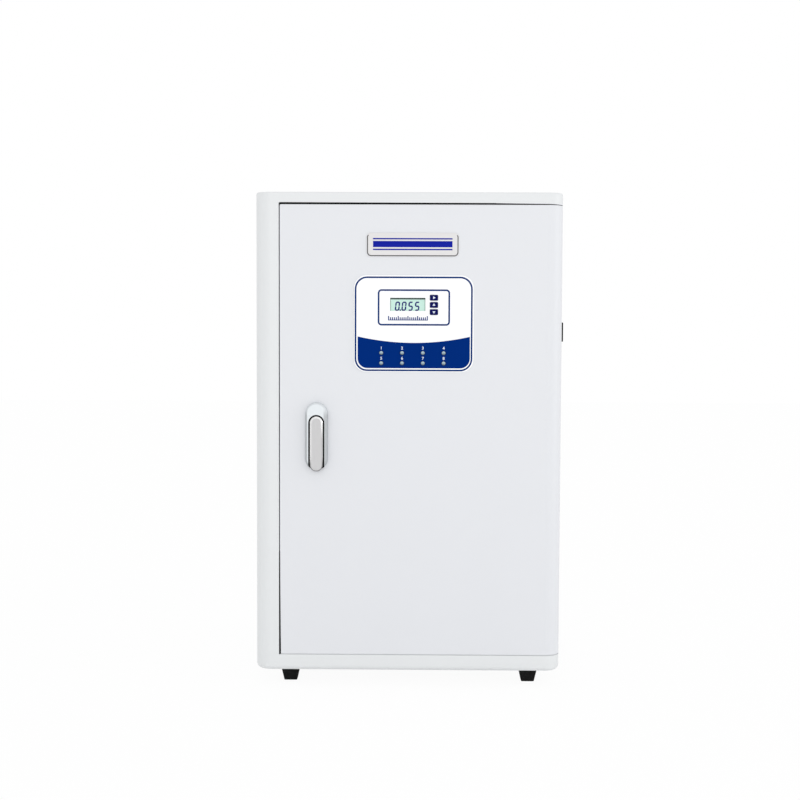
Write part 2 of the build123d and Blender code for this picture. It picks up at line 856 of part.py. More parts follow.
def end_cap(y, seat, outward):
    """A cap that screws over the end of a housing at height seat, with a tube port at its middle."""
    x = column_x
    inner = seat - outward * cap_seat
    outer = inner + outward * cap_height
    cap = rod(cap_radius, (x, y, inner), (x, y, outer))
    cap = fillet(cap.edges().filter_by(GeomType.CIRCLE), cap_edge_radius)
    cap = cap + rod(port_radius, (x, y, outer), (x, y, outer + outward * port_length))
    return cap - rod(housing_radius, (x, y, inner), (x, y, seat))


def membrane_element():
    x, y = column_x, membrane_y
    radius = housing_radius - housing_wall - element_clearance
    body = rod(radius, (x, y, housing_bottom + housing_wall), (x, y, housing_top))
    return body


def resin_column():
    x, y = column_x, resin_y
    body = rod(housing_radius, (x, y, housing_bottom), (x, y, housing_top))
    return body - rod(housing_radius - housing_wall, (x, y, housing_bottom), (x, y, housing_top))


def resin_bed():
    x, y = column_x, resin_y
    radius = housing_radius - housing_wall - fit_clearance
    return rod(radius, (x, y, housing_bottom), (x, y, housing_top))


def housing_clips():
    """Spring clips on the right-hand side, two to each housing, open towards the filters."""
    stem = zone(clip_stand_off - clip_foot_thickness, clip_stand_off, -clip_foot / 2, clip_foot / 2)
    web = zone(0, clip_stand_off, -clip_wall, clip_wall)
    mouth = clip_mouth_share * housing_radius
    gap = zone(-clip_stand_off, 0, -mouth, mouth)
    profile = Circle(clip_radius) + web + stem - Circle(housing_radius + fit_clearance) - gap
    clips = []
    for y in (membrane_y, resin_y):
        for low in (housing_bottom + clip_inset, housing_top - clip_inset - clip_height):
            clips.append(rise(Pos(column_x, y) * profile, low, low + clip_height))
    return joined(clips)


def conductivity_cell():
    """The measuring cell that stands on the resin column's outlet, its probe to the front."""
    x, y = column_x, resin_y
    middle = (port_top + cell_top) / 2
    cell = rod(cell_radius, (x, y, port_top), (x, y, cell_top))
    return cell + rod(cell_probe_radius, (x, y, middle), (x, y - cell_radius - cell_probe_length, middle))


def pump_plate():
    x0, x1, y0, y1 = pump_plate_limits()
    return block(x0, x1, y0, y1, pump_plate_z, pump_base)


def pump_plate_limits():
    side = pump_head_side / 2 + pump_plate_margin
    right_end = pump_lane_x + pump_head_width / 2 + pump_plate_margin
    return motor_left, right_end, pump_y - side, pump_y + side


def pump_mounts():
    x0, x1, y0, y1 = pump_plate_limits()
    mounts = [
        rod(pump_mount_radius, (x, y, floor), (x, y, pump_plate_z))
        for x in (x0 + pump_mount_radius, x1 - pump_mount_radius)
        for y in (y0 + pump_mount_radius, y1 - pump_mount_radius)
    ]
    return joined(mounts)


def on_pump_axis(radius, x0, x1):
    return rod(radius, (x0, pump_y, pump_axis_z), (x1, pump_y, pump_axis_z))


def pump_head():
    half = pump_head_side / 2
    x1 = pump_lane_x + pump_head_width / 2
    head = block(pump_head_left, x1, pump_y - half, pump_y + half, pump_base, pump_base + pump_head_side)
    head = fillet(head.edges().filter_by(Axis.X).sort_by(Axis.Z)[-2:], pump_head_radius)
    for y in (pump_inlet_y, pump_outlet_y):
        head = head + rod(port_radius, (pump_lane_x, y, pump_base + half), (pump_lane_x, y, pump_port_z))
    bore = shaft_radius + running_clearance
    return head - on_pump_axis(bore, pump_head_left, pump_head_left + shaft_seat + running_clearance)


def pump_motor():
    can = on_pump_axis(motor_radius, motor_left, pump_head_left)
    can = fillet(can.edges().filter_by(GeomType.CIRCLE).sort_by(Axis.X)[0], motor_edge_radius)
    can = can - on_pump_axis(motor_radius - motor_wall, motor_left + motor_end_wall, pump_head_left)
    return can - on_pump_axis(shaft_radius + running_clearance, motor_left - overrun, pump_head_left)


def pump_rotor():
    shaft = on_pump_axis(shaft_radius, motor_left - shaft_stub, pump_head_left + shaft_seat)
    start = motor_left + motor_end_wall + armature_end_gap
    return shaft + on_pump_axis(armature_radius, start, pump_head_left - armature_end_gap)


def power_supply():
    y0 = chassis_y + chassis_sheet
    low = floor + supply_rise
    case = block(supply_x - supply_width / 2, supply_x + supply_width / 2, y0, y0 + supply_depth,
                 low, low + supply_height)
    return fillet(case.faces().sort_by(Axis.Y)[-1].edges(), supply_edge_radius)


def inlet_valve():
    """The valve block on the chassis plate, fed from behind, with its outlet to the left."""
    half_x = valve_width / 2
    half_z = valve_height / 2
    y0 = filter_y - valve_front
    body = block(valve_x - half_x, valve_x + half_x, y0, chassis_y, fitting_z - half_z, fitting_z + half_z)
    body = fillet(body.edges().filter_by(Axis.Y), valve_edge_radius)
    port_end = valve_x - half_x - valve_port_reach
    return body + rod(port_radius, (port_end, filter_y, fitting_z), (valve_x, filter_y, fitting_z))


def valve_coil():
    half = coil_width / 2
    y1 = filter_y - valve_front
    coil = block(valve_x - half, valve_x + half, y1 - coil_length, y1, fitting_z - half, fitting_z + half)
    return fillet(coil.edges().filter_by(Axis.Y), coil_edge_radius)


def bulkhead_fitting(x):
    """A push-in tube fitting through the back panel, with a blind bore for the outside tube."""
    collar_end = back_outside + fitting_collar_length
    outer_end = back_outside + fitting_length
    body = rod(fitting_body_radius, (x, back_outside, fitting_z), (x, outer_end, fitting_z))
    body = fillet(body.edges().filter_by(GeomType.CIRCLE).sort_by(Axis.Y)[-1], fitting_edge_radius)
    body = body + rod(fitting_collar_radius, (x, back_outside, fitting_z), (x, collar_end, fitting_z))
    body = body + rod(fitting_thread_radius, (x, fitting_inner_end, fitting_z), (x, back_outside, fitting_z))
    bore = tube_radius + fitting_bore_clearance
    return body - rod(bore, (x, outer_end - fitting_bore_depth, fitting_z), (x, outer_end, fitting_z))


def bulkhead_nut(x):
    back = Plane(origin=(x, back_inside, fitting_z), x_dir=(1, 0, 0), z_dir=(0, -1, 0))
    face = RegularPolygon(nut_radius, nut_sides) - Circle(fitting_thread_radius)
    return extrude(back * face, nut_height)


def inlet_outline():
    face = RectangleRounded(inlet_body_width, inlet_body_height, inlet_body_radius)
    return Pos(inlet_x, inlet_z) * face


def power_inlet():
    """The mains inlet: a flanged socket with three blades at the bottom of its recess."""
    flange = RectangleRounded(inlet_flange_width, inlet_flange_height, inlet_flange_radius)
    face_y = back_outside + inlet_flange_thickness
    body = front_plate(Pos(inlet_x, inlet_z) * flange, face_y, inlet_flange_thickness)
    body = body + front_plate(inlet_outline(), back_outside, inlet_depth)
    mouth = RectangleRounded(inlet_body_width - 2 * inlet_wall, inlet_body_height - 2 * inlet_wall,
                             inlet_body_radius - inlet_wall)
    floor_y = back_outside - inlet_depth + inlet_floor
    body = body - front_plate(Pos(inlet_x, inlet_z) * mouth, face_y, face_y - floor_y)
    blade = Rectangle(inlet_blade_width, inlet_blade_height)
    spots = [(-1, -1), (0, 1), (1, -1)]
    blades = [
        Pos(inlet_x + side * inlet_blade_spread, inlet_z + level * inlet_blade_rise) * blade
        for side, level in spots
    ]
    solids = [front_plate(face, floor_y + inlet_blade_length, inlet_blade_length) for face in blades]
    return Compound(children=[body] + solids)


def tube(points):
    """A length of tube along straight runs joined by bends."""
    start = Plane(origin=points[0], z_dir=Vector(points[1]) - Vector(points[0]))
    section = start * (Circle(tube_radius) - Circle(tube_bore_radius))
    return sweep(section, path=FilletPolyline(*points, radius=tube_bend))


def straight_tube(start, end):
    return rod(tube_radius, start, end) - rod(tube_bore_radius, start, end)


def valve_tube():
    valve_port = feed_lane_x + tube_lane
    head_port = sediment_x - head_radius - head_port_reach
    return tube([
        (valve_port, filter_y, fitting_z),
        (feed_lane_x, filter_y, fitting_z),
        (feed_lane_x, filter_y, head_port_z),
        (head_port, filter_y, head_port_z),
    ])


def pump_inlet_tube():
    return tube([
        (carbon_x + head_radius + head_port_reach, filter_y, head_port_z),
        (pump_lane_x, filter_y, head_port_z),
        (pump_lane_x, filter_y, pump_port_z),
    ])


def pump_outlet_tube():
    return tube([
        (pump_lane_x, pump_outlet_y, pump_port_z),
        (pump_lane_x, pump_outlet_y, over_lane_z),
        (column_x, membrane_y, over_lane_z),
        (column_x, membrane_y, port_top),
    ])


def permeate_tube():
    lane_z = column_port_bottom - permeate_drop
    return tube([
        (column_x, membrane_y, membrane_port_bottom),
        (column_x, membrane_y, lane_z),
        (column_x, resin_y, lane_z),
        (column_x, resin_y, column_port_bottom),
    ])


def rear_tubes():
    """The tubes from the feed, drain and product fittings."""
    feed = straight_tube((valve_x, chassis_y, fitting_z), (valve_x, fitting_inner_end, fitting_z))
    drain = tube([
        (column_x - drain_port_offset, membrane_y, membrane_port_bottom),
        (column_x - drain_port_offset, membrane_y, fitting_z),
        (drain_x, membrane_y, fitting_z),
        (drain_x, fitting_inner_end, fitting_z),
    ])
    product = tube([
        (column_x, resin_y, cell_top),
        (column_x, resin_y, over_lane_z),
        (column_x, product_lane_y, over_lane_z),
        (column_x, product_lane_y, fitting_z),
        (column_x, fitting_inner_end, fitting_z),
    ])
    return joined([feed, drain, product])


pieces = {
    "base_panel": base_panel(),
    "left_side_panel": left_side_panel(),
    "right_side_panel": right_side_panel(),
    "top_panel": top_panel(),
    "back_panel": back_panel(),
    "back_panel_screws": back_panel_screws(),
    "rubber_feet": rubber_feet(),
    "upper_hinge_bracket": upper_hinge_bracket(),
    "lower_hinge_bracket": lower_hinge_bracket(),
    "hinge_pins": hinge_pins(),
    "magnet_catch": magnet_catch(),
    "chassis_plate": chassis_plate(),
    "filter_bracket": filter_bracket(),
    "sediment_filter_head": filter_head(sediment_x),
    "carbon_filter_head": filter_head(carbon_x),
    "sediment_filter_sump": filter_sump(sediment_x),
    "carbon_filter_sump": filter_sump(carbon_x),
    "sediment_cartridge": filter_cartridge(sediment_x),
    "carbon_cartridge": filter_cartridge(carbon_x),
    "sump_seals": sump_seals(),
    "membrane_housing": membrane_housing(),
    "membrane_cap": end_cap(membrane_y, housing_top, 1),
    "membrane_element": membrane_element(),
    "resin_column": resin_column(),
    "resin_caps": joined([end_cap(resin_y, housing_top, 1), end_cap(resin_y, housing_bottom, -1)]),
    "resin_bed": resin_bed(),
    "housing_clips": housing_clips(),
    "conductivity_cell": conductivity_cell(),
    "pump_plate": pump_plate(),
    "pump_mounts": pump_mounts(),
    "pump_head": pump_head(),
    "pump_motor": pump_motor(),
    "pump_rotor": pump_rotor(),
    "power_supply": power_supply(),
    "inlet_valve": inlet_valve(),
    "valve_coil": valve_coil(),
    "bulkhead_fittings": joined(bulkhead_fitting(x) for x in fitting_places.values()),
    "bulkhead_nuts": joined(bulkhead_nut(x) for x in fitting_places.values()),
    "power_inlet": power_inlet(),
    "valve_tube": valve_tube(),
    "pump_inlet_tube": pump_inlet_tube(),
    "pump_outlet_tube": pump_outlet_tube(),
    "permeate_tube": permeate_tube(),
    "rear_tubes": rear_tubes(),
    "switch_frame": switch_frame(),
    "power_rocker": power_rocker(),
    "door_panel": door_panel(),
    "door_bushes": door_bushes(),
    "name_plate": name_plate(),
    "control_overlay": control_overlay(),
    "lcd_module": lcd_module(),
    "indicator_leds": indicator_leds(),
    "control_board": control_board(),
    "control_cover": control_cover(),
    "handle_plate": handle_plate(),
    "lever_pin": lever_pin(),
    "handle_lever": handle_lever(),
}
for name, key_rise in key_rises.items():
    pieces[name] = key(key_rise)

os.makedirs("parts", exist_ok=True)
for name, piece in pieces.items():
    export_step(to_origin * piece, f"parts/{name}.step")
print(len(pieces), "nodes written")
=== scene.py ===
# %% [markdown]
# # A laboratory water purifier
# This lesson dresses a finished construction: a white steel cabinet whose door carries a small control
# panel and a flip-out handle, with filters, a pump and tubing behind it. The construction comes in as a
# fixed frame. Nothing in it is moved or resized, so a finish or a new piece goes where the frame says.

# %% Load the frame
import json
from math import atan2, cos, pi, radians, sin

import bmesh
import bpy
from mathutils import Matrix, Vector


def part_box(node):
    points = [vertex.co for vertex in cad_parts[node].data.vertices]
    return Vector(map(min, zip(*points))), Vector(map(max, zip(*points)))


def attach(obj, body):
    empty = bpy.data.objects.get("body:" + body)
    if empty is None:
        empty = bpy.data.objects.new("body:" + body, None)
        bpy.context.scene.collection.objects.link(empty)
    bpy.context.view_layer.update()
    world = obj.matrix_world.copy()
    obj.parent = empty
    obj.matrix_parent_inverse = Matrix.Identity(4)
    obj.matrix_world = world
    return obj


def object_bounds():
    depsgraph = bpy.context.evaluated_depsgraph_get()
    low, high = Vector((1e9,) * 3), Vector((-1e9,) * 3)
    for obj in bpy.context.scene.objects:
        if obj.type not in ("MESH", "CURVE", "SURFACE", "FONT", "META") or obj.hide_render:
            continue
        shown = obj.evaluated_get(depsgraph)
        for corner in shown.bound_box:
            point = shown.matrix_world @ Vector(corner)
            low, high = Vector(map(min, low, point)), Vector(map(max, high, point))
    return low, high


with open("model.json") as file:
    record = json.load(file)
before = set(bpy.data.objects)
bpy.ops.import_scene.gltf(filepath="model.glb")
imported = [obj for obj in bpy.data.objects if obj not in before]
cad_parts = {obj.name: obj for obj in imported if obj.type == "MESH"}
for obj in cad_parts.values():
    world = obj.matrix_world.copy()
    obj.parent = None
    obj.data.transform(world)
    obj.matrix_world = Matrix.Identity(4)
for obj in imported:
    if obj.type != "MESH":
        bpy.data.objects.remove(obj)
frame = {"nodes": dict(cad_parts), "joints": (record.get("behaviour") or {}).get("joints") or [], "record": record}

construction_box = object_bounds()
nodes = frame["nodes"]
joints = {joint["name"]: joint for joint in frame["joints"]}


def corners(node):
    """A node's lowest and highest corners at rest."""
    low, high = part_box(node)
    return Vector(low), Vector(high)


print(len(nodes), "nodes, box", [tuple(round(v, 4) for v in corner) for corner in construction_box])

# %% [markdown]
# ## Camera
# The picture was taken from the front with a longish lens, a little above the middle of the cabinet and
# tipped down by three degrees. A camera can be aimed with a constraint, but writing its three axes down
# keeps the small roll that the picture has.

# %% Camera
CAMERA_PLACE = Vector((0.0048, -1.95925, 0.4828))
CAMERA_YAW = radians(0.618)
CAMERA_PITCH = radians(3.024)
CAMERA_ROLL = radians(0.224)
LENS_MM = 58.5


def camera_axes(yaw, pitch, roll):
    """The camera's right, up and backward directions as the columns of a matrix."""
    forward = Vector((-sin(yaw) * cos(pitch), cos(yaw) * cos(pitch), -sin(pitch)))
    level = Vector((cos(yaw), sin(yaw), 0))
    upright = level.cross(forward)
    right = cos(roll) * level + sin(roll) * upright
    up = cos(roll) * upright - sin(roll) * level
    return Matrix((right, up, -forward)).transposed()


camera_data = bpy.data.cameras.new("camera")
camera_data.lens = LENS_MM
camera = bpy.data.objects.new("camera", camera_data)
camera.matrix_world = Matrix.Translation(CAMERA_PLACE) @ camera_axes(
    CAMERA_YAW, CAMERA_PITCH, CAMERA_ROLL).to_4x4()
bpy.context.scene.collection.objects.link(camera)
bpy.context.scene.camera = camera
print("camera at", tuple(CAMERA_PLACE))

# %% [markdown]
# ## Shader maths
# A finish is a small network of nodes. Written node by node it is hard to read, so one class wraps an
# output socket: sums and products of wrapped sockets add Math nodes, and `add` makes any other node.

# %% The socket wrapper
class Wire:
    """An output socket of a node tree, for use in expressions."""

    def __init__(self, tree, socket=None):
        self.tree = tree
        self.socket = socket

    def add(self, kind, settings=None, values=None, output=0):
        """Makes a node, sets it up, fills or links its sockets, and wraps one of its outputs."""
        node = self.tree.nodes.new(kind)
        for name, value in (settings or {}).items():
            setattr(node, name, value)
        for name, value in (values or {}).items():
            if isinstance(value, Wire):
                self.tree.links.new(value.socket, node.inputs[name])
            else:
                node.inputs[name].default_value = value
        return Wire(self.tree, node.outputs[output])

    def math(self, operation, *values):
        return self.add("ShaderNodeMath", {"operation": operation}, dict(enumerate(values)))

    def __add__(self, other):
        return self.math("ADD", self, other)

    def __sub__(self, other):
        return self.math("SUBTRACT", self, other)

    def __rsub__(self, other):
        return self.math("SUBTRACT", other, self)

    def __mul__(self, other):
        return self.math("MULTIPLY", self, other)

    def __truediv__(self, other):
        return self.math("DIVIDE", self, other)

    __radd__ = __add__
    __rmul__ = __mul__

    def mix(self, first, second):
        """A colour between two others, this value being the share of the second."""
        settings = {"data_type": "RGBA"}
        return self.add("ShaderNodeMix", settings, {0: self, 6: first, 7: second}, output=2)

    def ramp(self, low, high):
        """This value stretched so that low becomes 0 and high becomes 1."""
        return self.add("ShaderNodeMapRange", None, {0: self, 1: low, 2: high})

    def wave(self):
        """The sine of this value, scaled so that it runs from 0 to 1."""
        return self.math("SINE", self) * 0.5 + 0.5

    def blend(self, other, share):
        """A given share of this value, with another value for the rest."""
        return self * share + other * (1 - share)


print("shader maths ready")

# %% [markdown]
# ## The common finish
# Most of the pieces are paint, plastic, rubber or metal. Each has a colour that wanders a little, a gloss
# that wanders with it, and a fine grain. One function makes that from two noises on Object coordinates,
# so the grain keeps its real size on every piece, and each finish then adds what is its own.

# %% The finish class
finishes = {}


def shade(colour, factor):
    return tuple(min(1, channel * factor) for channel in colour[:3]) + (1,)


class Finish:
    """A material in the making: its shader, its coordinates and what feeds it."""

    def __init__(self, name, colour, roughness, metallic=0.0):
        self.material = bpy.data.materials.new(name)
        self.material.use_nodes = True
        self.material.diffuse_color = tuple(colour) + (1,)
        tree = self.material.node_tree
        self.shader = tree.nodes["Principled BSDF"]
        self.wire = Wire(tree)
        self.place = self.wire.add("ShaderNodeTexCoord", output=3)
        self.shader.inputs["Metallic"].default_value = metallic
        self.colour = tuple(colour) + (1,)
        self.roughness = roughness
        finishes[name] = self.material

    def noise(self, scale, detail=2.0, stretch=None):
        """A noise whose waves are 1/scale metres long, drawn out along the axes by the stretch."""
        place = self.place
        if stretch:
            place = self.wire.add("ShaderNodeMapping", None, {"Vector": place, "Scale": stretch})
        return self.wire.add("ShaderNodeTexNoise", None, {"Vector": place, "Scale": scale, "Detail": detail})

    def axis(self, letter):
        """One coordinate of the surface, in metres."""
        outputs = {"x": 0, "y": 1, "z": 2}
        return self.wire.add("ShaderNodeSeparateXYZ", None, {0: self.place}, output=outputs[letter])

    def feed(self, name, wire):
        self.wire.tree.links.new(wire.socket, self.shader.inputs[name])

    def set(self, **constants):
        for name, value in constants.items():
            self.shader.inputs[name.replace("_", " ")].default_value = value

    def tinted(self, wire, spread):
        """The colour, darker and lighter by the spread as the wire goes from 0 to 1."""
        return wire.mix(shade(self.colour, 1 - spread), shade(self.colour, 1 + spread))

    def tone(self, wire, spread):
        self.feed("Base Color", self.tinted(wire, spread))

    def gloss(self, wire, spread=0.08):
        """Feeds the roughness, lower and higher by the spread as the wire goes from 0 to 1."""
        self.feed("Roughness", wire * (2 * spread) + (self.roughness - spread))

    def bump(self, wire, depth):
        """Relief from a wire that runs from 0 to 1, over a depth in metres."""
        values = {"Height": wire, "Distance": depth, "Strength": 1.0}
        self.feed("Normal", self.wire.add("ShaderNodeBump", None, values))


print("finish class ready")

# %% The common finish
CLOUDS_PER_METRE = 14.0
CLOUD_DETAIL = 3.0
CLOUD_SHARE = 0.6


def common(name, colour, roughness, grain, depth, metallic=0.0, spread=0.05, stretch=None, **constants):
    """A finish with a wandering tone and gloss and a fine grain of a given scale and depth."""
    finish = Finish(name, colour, roughness, metallic)
    cloud = finish.noise(CLOUDS_PER_METRE, CLOUD_DETAIL)
    fine = finish.noise(grain, stretch=stretch)
    finish.tone(cloud.blend(fine, CLOUD_SHARE), spread)
    finish.gloss(fine.blend(cloud, CLOUD_SHARE))
    finish.bump(fine, depth)
    finish.set(**constants)
    return finish


print("common finish ready")

# %% [markdown]
# ## Paint, metal, rubber and plastic
# Powder coat melts into a fine orange peel: waves about a millimetre long, a few hundredths deep, on a
# satin gloss. Plated steel and the handle's casting show a faint brushing, which is the same grain drawn
# out along one axis. Moulded plastics are smoother, and rubber is matt with a soft bloom. Each line below
# gives a finish's colour and roughness, and its grain's waves per metre and depth in metres.

# %% Paint and moulded finishes
FAINT = 0.00001
FINE = 0.00002
PEEL = 0.00003
COARSE = 0.00004
PAINT_GRAIN = 900.0
PLATING_GRAIN = 700.0
RUBBER_GRAIN = 1300.0
SMOOTH_GRAIN = 500.0
MOULD_GRAIN = 1500.0
HEAD_GRAIN = 800.0
TUBE_GRAIN = 400.0
BRUSHED_UP = (1.0, 1.0, 0.06)
BRUSHED_ACROSS = (0.06, 1.0, 1.0)
TURNED = (0.08, 1.0, 1.0)
DULL = {"Specular_IOR_Level": 0.05}
MATT = {"Specular_IOR_Level": 0.01}

powder_coat = common("powder_coat", (0.755, 0.772, 0.782), 0.42, PAINT_GRAIN, PEEL, spread=0.012)
door_coat = common("door_coat", (0.742, 0.755, 0.785), 0.42, PAINT_GRAIN, PEEL, spread=0.012)
zinc = common("zinc_plating", (0.60, 0.61, 0.62), 0.34, PLATING_GRAIN, FINE, metallic=1.0, spread=0.10,
              stretch=BRUSHED_UP)
rubber = common("black_rubber", (0.007, 0.007, 0.0075), 0.75, RUBBER_GRAIN, COARSE, spread=0.25, **DULL)
foot_rubber = common("foot_rubber", (0.0128, 0.0128, 0.013), 0.75, RUBBER_GRAIN, COARSE, spread=0.25, **DULL)
nylon = common("natural_nylon", (0.80, 0.79, 0.74), 0.42, SMOOTH_GRAIN, FINE, spread=0.03)
black_plastic = common("black_moulding", (0.014, 0.014, 0.015), 0.45, MOULD_GRAIN, PEEL, spread=0.15)
head_blue = common("filter_head_blue", (0.012, 0.06, 0.27), 0.34, HEAD_GRAIN, FINE, spread=0.08)
white_plastic = common("white_moulding", (0.76, 0.77, 0.77), 0.33, SMOOTH_GRAIN, FINE, spread=0.02)
pump_paint = common("pump_enamel", (0.022, 0.022, 0.025), 0.36, SMOOTH_GRAIN, COARSE, spread=0.2)
cover_plastic = common("cover_moulding", (0.56, 0.57, 0.58), 0.5, MOULD_GRAIN, COARSE, spread=0.04)
supply_case = common("supply_case", (0.52, 0.53, 0.54), 0.36, PAINT_GRAIN, FINE, metallic=0.9, spread=0.08,
                     stretch=BRUSHED_ACROSS)
brass = common("machined_brass", (0.68, 0.47, 0.19), 0.27, PAINT_GRAIN, FINE, metallic=1.0, spread=0.06,
               stretch=TURNED)
dull_black = common("dull_black", (0.008, 0.008, 0.0085), 0.5, MOULD_GRAIN, PEEL, spread=0.15, **DULL)
tube_blue = common("blue_tube", (0.045, 0.20, 0.55), 0.24, TUBE_GRAIN, FAINT, spread=0.06)
print(len(finishes), "paints, metals and mouldings")

# %% [markdown]
# ## The handle's two castings
# The handle is a satin casting with a well painted black as the shade of the gap in which the lever lies, so
# a dark line runs round the lever. The lever has a plain grey face and a polished bevel, whose near-white is
# a painted highlight. Both follow the lever's outline, a bar with round ends, so one distance, measured
# from the line down its middle, tells face, bevel and well apart.

# %% Helpers for the handle's finishes
SOFT_SIDE = 0.002
BRUSHING = (1.0, 1.0, 0.08)
BRUSHING_GRAIN = 1600.0


def from_middle_line(finish, node):
    """The distance in the front view from the line down the middle of a bar with round ends."""
    low, high = corners(node)
    half = (high.x - low.x) / 2
    across = finish.axis("x") - (low.x + half)
    height = finish.axis("z")
    nearest = finish.wire.math("MAXIMUM", height, low.z + half)
    nearest = finish.wire.math("MINIMUM", nearest, high.z - half)
    along = height - nearest
    return finish.wire.math("SQRT", across * across + along * along), half


def right_of_lever(finish, start):
    """0 as far as a given distance to the right of the lever's middle, and 1 past it."""
    low, high = corners("handle_lever")
    middle = (low.x + high.x) / 2
    return finish.axis("x").ramp(middle + start, middle + start + SOFT_SIDE)


def brushing_of(finish):
    return finish.noise(BRUSHING_GRAIN, stretch=BRUSHING)


print("handle helpers ready")

# %% [markdown]
# The crown of the casting is bright. Its flanks, and the side right of the lever, carry painted shade, as
# though they were turned away from the light. On the lever the bevel's painted highlight runs round the head
# and down the left side. It stops short of the foot, where a thin dark line of painted shadow takes its place.

# %% Handle finishes
SOFT_EDGE = 0.0002
WELL_GAP = 0.002
# The well round the lever is painted black: painted shade of the gap round the lever.
WELL_SHADE = (0.004, 0.004, 0.004, 1)
WELL_ROUGHNESS = 0.75
# Painted shade on the casting's flanks and right of the lever, lessened on the crown.
FLANK_WIDTH = 0.0030
FLANK_EDGE = 0.0008
FLANK_SHADE = 0.64
CROWN_LENGTH = 0.018
CROWN_SHARE = 0.8
CASTING_METALLIC = 0.25
CASTING_STREAK = 0.06
LEVER_STREAK = 0.05
# The bevel's near-white colour is a painted highlight, on the head and the left side only.
BEVEL_WIDTH = 0.0021
BEVEL_HIGHLIGHT = (0.93, 0.93, 0.93, 1)
BEVEL_METALLIC = 0.5
BEVEL_ROUGHNESS = 0.18
HEAD_START = 0.030
HEAD_END = 0.010
# A thin dark line of painted shadow lies round the lever's foot.
FOOT_LENGTH = 0.010
FOOT_LINE = 0.0009
FOOT_SHADE = 0.3


def handle_casting():
    finish = Finish("satin_casting", (0.69, 0.725, 0.75), 0.35)
    distance, half = from_middle_line(finish, "handle_lever")
    # Painted shade of the gap: the well round the lever is black, and the casting outside it is silver.
    outside = distance.ramp(half + WELL_GAP, half + WELL_GAP + SOFT_EDGE)
    reach, plate_half = from_middle_line(finish, "handle_plate")
    # Painted shade: the flanks and the side right of the lever are darker, less so on the crown.
    painted_flank_shade = reach.ramp(plate_half - FLANK_WIDTH, plate_half - FLANK_WIDTH + FLANK_EDGE)
    painted_flank_shade = finish.wire.math("MAXIMUM", painted_flank_shade, right_of_lever(finish, half))
    crown = corners("handle_plate")[1].z - CROWN_LENGTH
    painted_flank_shade = painted_flank_shade * (1 - finish.axis("z").ramp(crown, crown + CROWN_LENGTH / 2) * CROWN_SHARE)
    brushing = brushing_of(finish)
    silver = painted_flank_shade.mix(finish.tinted(brushing, spread=0.02), shade(finish.colour, FLANK_SHADE))
    finish.feed("Base Color", outside.mix(WELL_SHADE, silver))
    finish.feed("Metallic", 1 - outside * (1 - CASTING_METALLIC))
    roughness = WELL_ROUGHNESS - outside * (WELL_ROUGHNESS - finish.roughness)
    finish.feed("Roughness", roughness + brushing * CASTING_STREAK)
    finish.bump(brushing, FAINT)
    return finish


def lever_casting():
    finish = Finish("satin_lever", (0.575, 0.57, 0.575), 0.44)
    distance, half = from_middle_line(finish, "handle_lever")
    low, high = corners("handle_lever")
    height = finish.axis("z")
    below_head = 1 - height.ramp(high.z - HEAD_START, high.z - HEAD_END)
    above_foot = height.ramp(low.z + FOOT_LENGTH, low.z + 2 * FOOT_LENGTH)
    # Painted highlight on the bevel, left out at the right below the head and at the foot.
    bevel = distance.ramp(half - BEVEL_WIDTH - SOFT_EDGE, half - BEVEL_WIDTH)
    bevel = bevel * (1 - right_of_lever(finish, half / 2) * below_head) * above_foot
    # Painted shadow: a thin dark line round the foot of the lever.
    foot_shadow_line = distance.ramp(half - FOOT_LINE - SOFT_EDGE, half - FOOT_LINE) * (1 - above_foot)
    brushing = brushing_of(finish)
    face = foot_shadow_line.mix(finish.tinted(brushing, spread=0.03), shade(finish.colour, FOOT_SHADE))
    finish.feed("Base Color", bevel.mix(face, BEVEL_HIGHLIGHT))
    finish.feed("Metallic", bevel * BEVEL_METALLIC)
    roughness = finish.roughness - bevel * (finish.roughness - BEVEL_ROUGHNESS)
    finish.feed("Roughness", roughness + brushing * LEVER_STREAK)
    finish.bump(brushing, FAINT)
    return finish


casting = handle_casting()
lever_face = lever_casting()
print("handle casting and lever")

# %% [markdown]
# ## Filters and water parts
# The sediment cartridge is string wound in a steep crossing helix, which a pair of slanted waves shows.
# The carbon block is pressed grit, and the resin is a column of beads under a millimetre across, so both
# take their relief from Voronoi cells. The bowls are clear: their transmission is one number all over.

# %% Water-side finishes
THREAD_PITCH = 0.0042
THREAD_SLANT = 0.35
THREAD_DEPTH = 0.0009
STRING_SHARE = 0.8
FLUFF_GRAIN = 900.0
GRITS_PER_METRE = 1500.0
GRIT_DEPTH = 0.0003
BEADS_PER_METRE = 1100.0
BEAD_DEPTH = 0.0005
BEAD_EDGE = 0.3
CLEAR_GRAIN = 300.0


def wound_string():
    finish = Finish("wound_string", (0.82, 0.81, 0.77), 0.85)
    height = finish.axis("z") / THREAD_PITCH
    slant = (finish.axis("x") + finish.axis("y")) / THREAD_PITCH
    crossing = [(height + side * THREAD_SLANT * slant) * (2 * pi) for side in (-1, 1)]
    string = crossing[0].wave().blend(crossing[1].wave(), 0.5)
    finish.tone(string.blend(finish.noise(FLUFF_GRAIN), STRING_SHARE), spread=0.10)
    finish.gloss(string, spread=0.05)
    finish.bump(string, THREAD_DEPTH)
    return finish


def beads(name, colour, per_metre, depth, roughness, spread):
    """Round grains packed together: the distance to each grain's middle is its relief."""
    finish = Finish(name, colour, roughness)
    values = {"Vector": finish.place, "Scale": per_metre}
    distance = finish.wire.add("ShaderNodeTexVoronoi", None, values)
    grain = 1 - distance
    finish.tone(grain.ramp(BEAD_EDGE, 1.0), spread)
    finish.gloss(distance)
    finish.bump(grain, depth)
    return finish


